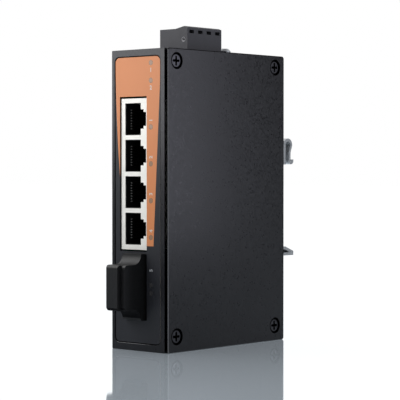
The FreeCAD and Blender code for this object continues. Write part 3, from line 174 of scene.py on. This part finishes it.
class PortFinish(bpy.types.PropertyGroup):
    """Colours of the copper ports and the light pipes"""
    tin: colour("Tin", "Tin plate of the port shield", "#faf8f2")
    moulding: colour("Moulding", "Black mouldings of the ports", "#0c0c0d")
    # Painted shade: the gold is as dark as the contacts look deep in a port.
    gold: colour("Gold", "Gold flash on the port contacts, as dark as they look deep in a port", "#0d0b08")
    # Painted light: the warm pipe colour in the field is the glow of the orange print round the pipes.
    pipe: colour("Light pipe", "Unlit light pipes in the field", "#a07e64")
    dark_pipe: colour("Dark light pipe", "Unlit light pipes in the ground", "#3a3a3d")


class PlugFinish(bpy.types.PropertyGroup):
    """Colours of the supply plug and the dust plug"""
    body: colour("Supply plug", "Moulding of the four-pole supply plug", "#3a3a40")
    cap: colour("Dust plug", "Soft moulding of the fibre dust plug", "#141416")


class StageFinish(bpy.types.PropertyGroup):
    """Colour of the floor and brightness of the lamps"""
    floor: colour("Floor", "Glossy pale floor", "#e4f0fa")
    lift: level("Floor lift", "What the floor's pale back adds to what the eye sees", 0.26)
    key: level("Key", "Brightness of the soft panel at the front left", 2.35)
    fill: level("Fill", "Brightness of the soft panel at the right", 1.33)
    top: level("Top", "Brightness of the soft panel above", 1.5)
    ambient: level("Ambient", "Strength of the room's own light", 0.72)
    room: level("Room", "Strength of the room beside the white backdrop", 0.05)


class SwitchSettings(bpy.types.PropertyGroup):
    """All the sizes and colours of the switch and its stage"""
    case: PointerProperty(type=CaseFinish)
    label: PointerProperty(type=LabelFinish)
    ports: PointerProperty(type=PortFinish)
    plugs: PointerProperty(type=PlugFinish)
    stage: PointerProperty(type=StageFinish)


def settings():
    """The sizes and colours that the user has set."""
    return bpy.context.scene.network_switch


def new_material(name):
    """An empty node material and its tree."""
    material = bpy.data.materials.new(name)
    material.use_nodes = True
    material.node_tree.nodes.clear()
    return material, material.node_tree


def add(tree, kind, inputs=(), **settings_of_node):
    """
    Adds a node, sets its own settings, and sets or links its inputs, by name or in their order.
    A node among the inputs stands for its first output in use, and a colour has three parts.
    """
    made = tree.nodes.new(kind)
    for name, value in settings_of_node.items():
        setattr(made, name, value)
    if not isinstance(inputs, dict):
        inputs = dict(enumerate(inputs))
    for name, value in inputs.items():
        socket = made.inputs[name]
        if isinstance(value, bpy.types.Node):
            value = next(output for output in value.outputs if output.enabled)
        if isinstance(value, bpy.types.NodeSocket):
            tree.links.new(value, socket)
        elif socket.type == "RGBA":
            socket.default_value = (*value, 1)
        else:
            socket.default_value = value
    return made


def product(tree, *values):
    """The product of these values, which for masks is 1 where all of them are 1."""
    whole, *rest = values
    for value in rest:
        whole = add(tree, "ShaderNodeMath", (whole, value), operation="MULTIPLY")
    return whole


def largest(tree, *values):
    """The largest of these values, which for masks is 1 where any of them is 1."""
    whole, *rest = values
    for value in rest:
        whole = add(tree, "ShaderNodeMath", (whole, value), operation="MAXIMUM")
    return whole


def between(tree, value, low=None, high=None):
    """1 where the value lies over low and under high, and 0 elsewhere. Either limit may be left out."""
    tests = {"GREATER_THAN": low, "LESS_THAN": high}
    return product(tree, *[
        add(tree, "ShaderNodeMath", (value, limit), operation=test)
        for test, limit in tests.items() if limit is not None])


def placed(tree):
    """The X, Y and Z of a point of the surface, and of its normal, in the object's own space."""
    place = add(tree, "ShaderNodeTexCoord").outputs
    return [add(tree, "ShaderNodeSeparateXYZ", [place[kind]]).outputs for kind in ("Object", "Normal")]


def waves(tree, spacing, detail=2.0):
    """Random waves that stand that many metres apart, laid out in the object's own space."""
    spot = add(tree, "ShaderNodeTexCoord").outputs["Object"]
    return add(tree, "ShaderNodeTexNoise", {"Vector": spot, "Scale": 1 / spacing, "Detail": detail})


def uneven(tree, height, low, high):
    """Spreads the height of random waves, which is mostly 0.3 to 0.7, between low and high."""
    return add(tree, "ShaderNodeMapRange", {
        "Value": height, "From Min": 0.3, "From Max": 0.7, "To Min": low, "To Max": high})


def mottled(tree, shade, size, low, high, detail=1.0):
    """The shade, drifting from low to high times its own depth over patches of that size."""
    return add(tree, "ShaderNodeMix", {
        "Factor": waves(tree, size, detail), "A": [part * low for part in shade],
        "B": [part * high for part in shade]}, data_type="RGBA")


def mark(tree, skin, mask, shade):
    """Lays a shade over a skin's colour where the mask is 1."""
    skin["Base Color"] = add(tree, "ShaderNodeMix", {
        "Factor": mask, "A": skin["Base Color"], "B": shade}, data_type="RGBA")


def surface(tree, skin):
    """Ends a material with one shader that has this skin's properties."""
    shader = add(tree, "ShaderNodeBsdfPrincipled", skin)
    add(tree, "ShaderNodeOutputMaterial", {"Surface": shader})


def reach(tree, across, up):
    """The distance that these two lengths at a right angle span."""
    squares = add(tree, "ShaderNodeMath", (across, across, product(tree, up, up)), operation="MULTIPLY_ADD")
    return add(tree, "ShaderNodeMath", [squares], operation="SQRT")


def to_screw(tree, spot, side):
    """How far a point is, along Y or Z, from the nearer pair of cover screws."""
    low, high = (getattr(corner, side.lower()) for corner in HEADS)
    past_middle = add(tree, "ShaderNodeMath", (spot[side], (low + high) / 2), operation="SUBTRACT")
    off = add(tree, "ShaderNodeMath", [past_middle], operation="ABSOLUTE")
    return add(tree, "ShaderNodeMath", (off, (high - low) / 2 - HEAD_RADIUS), operation="SUBTRACT")


def joints(tree, spot, facing):
    """Painted shade: 1 in the cover's groove, top edge and screw rings, and in the gaps round the label and
    the ports.
    """
    slant = add(tree, "ShaderNodeMath", [product(tree, facing["X"], facing["Y"])], operation="ABSOLUTE")
    groove = product(tree, between(tree, spot["X"], *GROOVE), between(tree, slant, LEANING))
    top_edge = between(tree, product(tree, facing["X"], facing["Z"]), LEANING)
    ring = between(tree, reach(tree, to_screw(tree, spot, "Y"), to_screw(tree, spot, "Z")), high=HEAD_RING)
    on_cover = product(tree, between(tree, spot["X"], COVER_INSIDE), largest(tree, top_edge, ring))
    gap = product(tree, *[between(tree, spot[side], *limits) for side, limits in PRESSED_FIELD.items()])
    return largest(tree, groove, gap, on_cover)


def tight_bend(tree, spot, facing):
    """
    The surface's normal. Over most of the left bend it stays that of the front, so that the sheet looks
    tightly folded.
    """
    to_front = add(tree, "ShaderNodeMapRange", {
        "Value": facing["Y"], "From Min": BEND_TURN[0], "From Max": BEND_TURN[1],
    }, interpolation_type="SMOOTHSTEP")
    flat = product(tree, to_front, between(tree, spot["X"], high=LEFT_BEND))
    normal = add(tree, "ShaderNodeNewGeometry").outputs["Normal"]
    blend = add(tree, "ShaderNodeMix", {"Factor": flat, "A": normal, "B": (0, -1, 0)}, data_type="VECTOR")
    return add(tree, "ShaderNodeVectorMath", [blend], operation="NORMALIZE")


def powder_coat(name, looks):
    """
    Powder coat baked on sheet steel: its shallow waves give a soft pebbled gloss. A pale highlight is
    painted on the cover's front edge, and black shade without shine is painted in the joints.
    """
    material, tree = new_material(name)
    spot, facing = placed(tree)
    peel = waves(tree, looks.peel, detail=4.0)
    # Where shade is painted, the coat turns to black metal of roughness 1, which neither scatters nor
    # shines.
    joint = joints(tree, spot, facing)
    skin = {
        "Base Color": mottled(tree, looks.paint, size=18 * MM, low=0.85, high=1.15),
        "Metallic": joint,
        "Roughness": largest(tree, uneven(tree, peel, looks.gloss - 0.1, looks.gloss + 0.1), joint),
        "IOR": 1.6,
        "Specular Tint": (0.95, 0.955, 1.0),
        "Normal": add(tree, "ShaderNodeBump", {
            "Height": peel, "Strength": 0.6, "Distance": 0.03 * MM,
            "Normal": tight_bend(tree, spot, facing)}),
    }
    # A painted highlight on the slant of the cover's front edge.
    front_edge = between(tree, product(tree, facing["X"], facing["Y"]), high=-LEANING)
    mark(tree, skin, product(tree, front_edge, between(tree, spot["X"], GROOVE[1])), looks.worn)
    # Painted shade in the gaps.
    mark(tree, skin, joint, looks.joint)
    surface(tree, skin)
    return material


def moulded(name, shade, rough, grain, ior=1.5, marks=None):
    """
    Moulded or cast plastic, rubber, resin or ceramic: the fine grain of its mould breaks up its highlight.
    A real grain is about 0.05 mm, and it is drawn coarser so that it shows.
    """
    material, tree = new_material(name)
    pits = waves(tree, grain)
    skin = {
        "Base Color": mottled(tree, shade, size=12 * grain, low=0.9, high=1.1),
        "Roughness": uneven(tree, pits, rough - 0.05, rough + 0.05),
        "IOR": ior,
        "Normal": add(tree, "ShaderNodeBump", {"Height": pits, "Strength": 0.3, "Distance": 0.02 * MM}),
    }
    if marks:
        marks(tree, skin)
    surface(tree, skin)
    return material


def two_halves(tree, skin):
    """Adds the dust plug's dull painted shade on its underside, and the thin dark line where its mould's
    halves parted.
    """
    spot, facing = placed(tree)
    mark(tree, skin, between(tree, spot["X"], *PARTING_LINE), linear("#020202"))
    # Painted shade: faces that look down turn to rough dark metal, which makes them darker and dull.
    under = between(tree, facing["Z"], high=UNDERSIDE)
    skin["Metallic"] = product(tree, under, 0.8)
    skin["Roughness"] = largest(tree, skin["Roughness"], product(tree, under, 0.9))


def dimple_rim(tree, skin):
    """Adds a pale painted highlight on the rim of the test hole in the supply plug's front end."""
    spot, _ = placed(tree)
    off = [add(tree, "ShaderNodeMath", (spot[side], middle), operation="SUBTRACT")
           for side, middle in DIMPLE.items()]
    rim = between(tree, reach(tree, *off), *DIMPLE_RIM)
    mark(tree, skin, product(tree, rim, between(tree, spot["Y"], high=DIMPLE_FACE)), linear("#8c8c90"))


def plated(name, shade, rough, grain, metal=1.0, marks=None):
    """
    Plated, blackened or sleeved metal: the metal below shows through its thin coat as an uneven shine.
    A real plate's grain is under 0.1 mm, and it is drawn coarser so that it shows.
    """
    material, tree = new_material(name)
    grains = waves(tree, grain, detail=3.0)
    skin = {
        "Base Color": mottled(tree, shade, size=8 * grain, low=0.88, high=1.0, detail=2.0),
        "Metallic": metal,
        "Roughness": uneven(tree, grains, rough - 0.07, rough + 0.07),
        "Normal": add(tree, "ShaderNodeBump", {"Height": grains, "Strength": 0.2, "Distance": 0.01 * MM}),
    }
    if marks:
        marks(tree, skin)
    surface(tree, skin)
    return material


def cross_recess(tree, skin):
    """Paints shade, near black, on a cover screw: in its cross recess, over the arms of the cross, and on
    its head's rim.
    """
    spot, _ = placed(tree)
    off = [to_screw(tree, spot, side) for side in ("Y", "Z")]
    sunk = between(tree, spot["X"], high=HEADS[1].x - CROSS_DEPTH)
    rim = between(tree, reach(tree, *off), HEAD_RIM)
    arms = [
        product(tree, *[between(tree, side, -half, half) for side, half in zip(sides, CROSS_ARM)])
        for sides in (off, off[::-1])]
    mark(tree, skin, largest(tree, sunk, rim, *arms), linear("#030303"))


def lit_root(tree, skin):
    """Leaves a contact bright only at its root, where the mouth of the port lets light in."""
    spot, _ = placed(tree)
    root = product(tree, *[between(tree, spot[side], high=limit) for side, limit in CONTACT_ROOT.items()])
    mark(tree, skin, root, linear("#b5b3ae"))


def field_side(tree, up, top, bottom, bow):
    """The X of a side of the orange field at that height: a straight line, with a bow deepest halfway up."""
    rise = add(tree, "ShaderNodeMapRange", {"Value": up, "From Min": ORANGE_LOW, "From Max": ORANGE_HIGH})
    fall = add(tree, "ShaderNodeMath", (1.0, rise), operation="SUBTRACT")
    hump = product(tree, rise, fall)
    straight = add(tree, "ShaderNodeMath", (rise, top - bottom, bottom), operation="MULTIPLY_ADD")
    return add(tree, "ShaderNodeMath", (hump, 4 * bow, straight), operation="MULTIPLY_ADD")


def printed_film(name, looks):
    """
    Polyester film, screen printed on its back: a satin face and an orange field with one bowed side. Its cut
    edge is painted pale outside, as a highlight, and black in the windows, as shade.
    """
    material, tree = new_material(name)
    spot, facing = placed(tree)
    across, up = spot["X"], spot["Z"]
    mesh = waves(tree, 0.3 * MM)
    skin = {
        "Base Color": looks.ground,
        "Roughness": uneven(tree, mesh, looks.gloss - 0.03, looks.gloss + 0.03),
        "IOR": 1.42,
        "Normal": add(tree, "ShaderNodeBump", {"Height": mesh, "Strength": 0.15, "Distance": 0.01 * MM}),
    }
    sides = [field_side(tree, up, *side) for side in (ORANGE_LEFT, ORANGE_RIGHT)]
    field = product(tree, between(tree, across, *sides), between(tree, up, ORANGE_LOW))
    mark(tree, skin, field, mottled(tree, looks.field, size=25 * MM, low=0.95, high=1.05))
    # The cut edge: a pale painted highlight, and painted shade in the windows.
    cut = between(tree, facing["Y"], -0.5)
    mark(tree, skin, cut, looks.edge)
    mark(tree, skin, product(tree, cut, between(tree, across, *WINDOWS)), linear("#050505"))
    surface(tree, skin)
    return material


def light_pipe(name, looks):
    """Clear moulded polycarbonate, unlit: its end is grey, and painted warm with the print's light where
    orange surrounds it.
    """
    material, tree = new_material(name)
    spot, _ = placed(tree)
    frost = waves(tree, 0.4 * MM)
    skin = {"Base Color": looks.dark_pipe, "Roughness": uneven(tree, frost, 0.2, 0.3), "IOR": 1.58}
    # Painted light: warm where the orange print surrounds the pipe.
    mark(tree, skin, between(tree, spot["Z"], ORANGE_LOW), looks.pipe)
    mark(tree, skin, uneven(tree, frost, 0.0, 0.25), linear("#55504c"))
    surface(tree, skin)
    return material


def dress(material, *names):
    """Puts a material on every material slot of these CAD nodes."""
    for name in names:
        piece = NODES[name]
        if not piece.material_slots:
            piece.data.materials.append(material)
        for slot in piece.material_slots:
            slot.material = material


def numbered(stem, count):
    """The names of like pieces, numbered from 1."""
    return [f"{stem}_{number}" for number in range(1, count + 1)]


def numeral(name, figure, across, up, size, ink, turn=READING_UP):
    """A figure screen-printed on the front film, reading upward unless turned. Its ink has a thickness."""
    text = bpy.data.curves.new(name, "FONT")
    text.body = figure
    text.size = size
    text.align_x = "CENTER"
    text.align_y = "CENTER"
    text.extrude = INK_DEPTH
    text.offset = INK_SPREAD
    piece = bpy.data.objects.new(name, text)
    piece.location = (across, FILM_FACE - INK_DEPTH, up)
    piece.rotation_euler = (math.pi / 2, turn, 0)
    bpy.context.collection.objects.link(piece)
    text.materials.append(ink)
    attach(piece, "housing")
    return piece


class SWITCH_OT_case(bpy.types.Operator):
    """Powder coats the case and its cover, and blackens the cover screws"""
    bl_idname = "network_switch.case"
    bl_label = "Case"

    def execute(self, context):
        looks = settings().case
        dress(powder_coat("powder_coated_steel", looks), "chassis", "side_cover")
        # Steel blackened in a hot bath keeps a metal's shine, but a dark one.
        dress(plated("black_oxide_steel", looks.oxide, rough=0.4, grain=0.3 * MM, marks=cross_recess),
              "cover_screws")
        return {"FINISHED"}


class SWITCH_OT_label(bpy.types.Operator):
    """Prints the front label and the numerals beside its lamps"""
    bl_idname = "network_switch.label"
    bl_label = "Front label"

    def execute(self, context):
        looks = settings().label
        dress(printed_film("screen_printed_film", looks), "front_label")
        # Ink pressed through a screen dries satin, with the screen's mesh faintly in it.
        ink = moulded("screen_ink", looks.ink, rough=0.45, grain=0.2 * MM)
        pale_ink = moulded("pale_screen_ink", looks.pale_ink, rough=0.45, grain=0.2 * MM)
        size = looks.numeral
        for port in range(PORTS):
            up = LOWEST_PORT + (PORTS - 1 - port) * PORT_PITCH - BELOW_PORT
            numeral(f"port_numeral_{port + 1}", str(port + 1), NUMERAL_COLUMN, up, size, ink)
        for supply, lamp in enumerate(SUPPLY_LAMPS, 1):
            up = lamp - BELOW_LAMP
            numeral(f"supply_numeral_{supply}", str(supply), LAMP_COLUMN, up, size, ink, turn=0.0)
        numeral("fibre_numeral", str(PORTS + 1), NUMERAL_COLUMN, FIBRE_NUMERAL, size, pale_ink)
        return {"FINISHED"}


class SWITCH_OT_ports(bpy.types.Operator):
    """Finishes the copper ports: tin-plated shield, black moulding and gold-flashed contacts"""
    bl_idname = "network_switch.ports"
    bl_label = "Copper ports"

    def execute(self, context):
        looks = settings().ports
        # Matt tin scatters light, so it looks nearly white.
        dress(plated("tin_plated_steel", looks.tin, rough=0.65, grain=0.5 * MM, metal=0.5),
              "jack_shield", "clock_crystal")
        # Nylon filled with glass has a black satin skin.
        dress(moulded("moulded_nylon", looks.moulding, rough=0.5, grain=0.4 * MM),
              "jack_housing", "fibre_transceiver", "lamp_link")
        # Gold flash on drawn bronze is smooth. Its colour is painted dark, as the shade deep in the port,
        # and lit_root paints a highlight at each contact's root.
        dress(plated("gold_flashed_bronze", looks.gold, rough=0.3, grain=0.3 * MM, marks=lit_root),
              *numbered("port_contacts", PORTS))
        return {"FINISHED"}


class SWITCH_OT_fibre(bpy.types.Operator):
    """Finishes the fibre port's sleeves, pins and soft dust plug"""
    bl_idname = "network_switch.fibre"
    bl_label = "Fibre port"

    def execute(self, context):
        cap = settings().plugs.cap
        # Soft PVC has a dull, slightly greasy skin.
        dress(moulded("soft_pvc", cap, rough=0.5, grain=0.5 * MM, ior=1.45, marks=two_halves), "dust_plug")
        # Sintered zirconia is white and shines like glass.
        dress(moulded("zirconia", linear("#e6e5df"), rough=0.2, grain=0.2 * MM, ior=2.1), "fibre_sleeves")
        # Bright tin on bronze looks like silver.
        dress(plated("tinned_bronze", linear("#c9c9c4"), rough=0.35, grain=0.3 * MM),
              "fibre_pins", "header_pins", "plug_contacts")
        return {"FINISHED"}


class SWITCH_OT_supply(bpy.types.Operator):
    """Finishes the supply plug and the zinc-plated screws, clamps and rail clip"""
    bl_idname = "network_switch.supply"
    bl_label = "Supply plug and clip"

    def execute(self, context):
        body = settings().plugs.body
        # Polyamide from an eroded mould is dull.
        dress(moulded("moulded_polyamide", body, rough=0.6, grain=0.4 * MM, marks=dimple_rim),
              "terminal_plug", "terminal_header")
        # Zinc plate is pale and a little blue, with a soft shine.
        dress(plated("zinc_plated_steel", settings().case.zinc, rough=0.38, grain=0.6 * MM, metal=0.6),
              "earth_screw", "earth_nut", "rail_plate", "rail_spring", "rail_rivets", "rail_plate_screws",
              "rail_plate_nuts", "board_posts", "board_screws",
              *numbered("clamp_screw", POLES), *numbered("wire_clamp", POLES))
        return {"FINISHED"}


class SWITCH_OT_inside(bpy.types.Operator):
    """Finishes the boards, chips and lamps inside the case"""
    bl_idname = "network_switch.inside"
    bl_label = "Boards and lamps"

    def execute(self, context):
        # Solder mask is a green lacquer with an even gloss.
        dress(moulded("solder_mask", linear("#14523a"), rough=0.35, grain=0.8 * MM),
              "main_board", "lamp_board")
        # Moulded epoxy is black and dull.
        dress(moulded("moulded_epoxy", linear("#1c1c1d"), rough=0.55, grain=0.2 * MM),
              "switch_chip", "port_transformers", "power_inductor", "power_regulator")
        # A shrunk sleeve over drawn aluminium is dark, with the can's shine under it.
        dress(plated("sleeved_aluminium", linear("#4a4d57"), rough=0.4, grain=0.5 * MM), "power_capacitors")
        dress(light_pipe("moulded_polycarbonate", settings().ports), "light_pipes")
        # Cast lamp resin is pale yellow and smooth.
        dress(moulded("lamp_resin", linear("#e8e6c8"), rough=0.3, grain=0.3 * MM), "lamp_chips")
        return {"FINISHED"}


def soft_panel(name, place, target, size, brightness, tint=(1, 1, 1)):
    """A soft rectangular lamp of that radiance at place, shining at target and out of the camera's sight."""
    lamp = bpy.data.lights.new(name, "AREA")
    lamp.shape = "RECTANGLE"
    lamp.size, lamp.size_y = size
    lamp.energy = brightness * math.pi * size[0] * size[1]
    lamp.color = tint
    made = bpy.data.objects.new(name, lamp)
    made.location = place
    made.rotation_euler = (Vector(target) - Vector(place)).to_track_quat("-Z", "Y").to_euler()
    made.visible_camera = False
    bpy.context.collection.objects.link(made)
    return made


def spare_floor(lamp, floor):
    """Keeps a near panel off the floor, which would mirror it as a bright patch."""
    others = bpy.data.collections.new(f"{lamp.name}_receivers")
    others.objects.link(floor)
    others.collection_objects[0].light_linking.link_state = "EXCLUDE"
    lamp.light_linking.receiver_collection = others


def pale_room(looks):
    """
    The world: white behind the object and to the eye, a dimmer room beside it to whatever mirrors it, and an
    even light for the rest.
    """
    world = bpy.data.worlds.new("pale_room")
    world.use_nodes = True
    tree = world.node_tree
    tree.nodes.clear()
    path = add(tree, "ShaderNodeLightPath")
    seen = largest(tree, path.outputs["Is Camera Ray"], path.outputs["Is Transmission Ray"])
    mirrored = path.outputs["Is Glossy Ray"]
    other = add(tree, "ShaderNodeMath", (1.0, mirrored), operation="SUBTRACT")
    way = add(tree, "ShaderNodeTexCoord").outputs["Generated"]
    toward = add(tree, "ShaderNodeVectorMath", (way, BACKDROP), operation="DOT_PRODUCT")
    around = add(tree, "ShaderNodeMapRange", {
        "Value": toward, "From Min": 0.2, "From Max": 0.7, "To Min": looks.room, "To Max": 1.0,
    }, interpolation_type="SMOOTHSTEP")
    strength = largest(tree, seen, product(tree, mirrored, around), product(tree, other, looks.ambient))
    shade = add(tree, "ShaderNodeBackground", {"Color": (1, 1, 1), "Strength": strength})
    add(tree, "ShaderNodeOutputWorld", {"Surface": shade})
    return world


def glossy_floor(name, looks):
    """Silvered acrylic sheet: it mirrors at a low angle, and its pale back keeps the shadow."""
    material, tree = new_material(name)
    path = add(tree, "ShaderNodeLightPath")
    seen = largest(tree, *[path.outputs[f"Is {kind} Ray"] for kind in ("Camera", "Glossy", "Transmission")])
    surface(tree, {
        "Base Color": looks.floor, "Metallic": 0.35, "Roughness": 0.05, "IOR": 1.5, "Coat Weight": 1.0,
        "Coat Roughness": 0.05, "Coat IOR": 1.5, "Emission Color": looks.floor,
        "Emission Strength": product(tree, seen, looks.lift)})
    return material


class SWITCH_OT_stage(bpy.types.Operator):
    """Makes the glossy pale floor, the soft panels and the camera"""
    bl_idname = "network_switch.stage"
    bl_label = "Stage"

    def execute(self, context):
        looks = settings().stage
        scene = context.scene
        scene.view_settings.view_transform = "Standard"
        scene.world = pale_room(looks)

        bpy.ops.mesh.primitive_plane_add(size=8.0)
        floor = context.object
        floor.name = "floor"
        floor.data.materials.append(glossy_floor("acrylic_sheet", looks))

        key = soft_panel(
            "key", place=(-0.095, -0.135, 0.178), target=(0, -0.035, 0.178), size=(0.15, 0.2),
            brightness=looks.key)
        fill = soft_panel(
            "fill", place=(0.13, 0.063, 0.127), target=(0.015, -0.035, 0.127), size=(0.07, 0.185),
            brightness=looks.fill, tint=(0.98, 0.98, 1.1))
        for near in (key, fill):
            spare_floor(near, floor)
        soft_panel(
            "top", place=(-0.45, -0.1, 0.6), target=(0, 0, 0.06), size=(0.6, 0.6), brightness=looks.top)

        camera = bpy.data.cameras.new("camera")
        camera.lens = LENS
        camera.sensor_width = SENSOR
        camera.clip_start = NEAREST
        eye = bpy.data.objects.new("camera", camera)
        eye.location = EYE
        eye.rotation_euler = (math.pi / 2 - EYE_DOWN, 0, EYE_ROUND)
        context.collection.objects.link(eye)
        scene.camera = eye
        return {"FINISHED"}


OPERATORS = (
    SWITCH_OT_stage, SWITCH_OT_case, SWITCH_OT_label, SWITCH_OT_ports, SWITCH_OT_fibre, SWITCH_OT_supply,
    SWITCH_OT_inside,
)


class SWITCH_PT_pieces(bpy.types.Panel):
    """Lists the switch's pieces, each with the button that makes or finishes it"""
    bl_idname = "SWITCH_PT_pieces"
    bl_label = "Network Switch"
    bl_space_type = "VIEW_3D"
    bl_region_type = "UI"
    bl_category = "Network Switch"

    def draw(self, context):
        for operator in OPERATORS:
            self.layout.operator(operator.bl_idname)


GROUPS = (CaseFinish, LabelFinish, PortFinish, PlugFinish, StageFinish, SwitchSettings)


def register():
    """Makes the settings, the operators and the panel known to Blender."""
    for kind in (*GROUPS, *OPERATORS, SWITCH_PT_pieces):
        bpy.utils.register_class(kind)
    bpy.types.Scene.network_switch = PointerProperty(type=SwitchSettings)


def unregister():
    """Takes them out again."""
    del bpy.types.Scene.network_switch
    for kind in reversed((*GROUPS, *OPERATORS, SWITCH_PT_pieces)):
        bpy.utils.unregister_class(kind)


def main():
    """Builds the stage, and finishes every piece."""
    register()
    for operator in OPERATORS:
        group, name = operator.bl_idname.split(".")
        getattr(getattr(bpy.ops, group), name)()


if __name__ == "__main__":
    main()
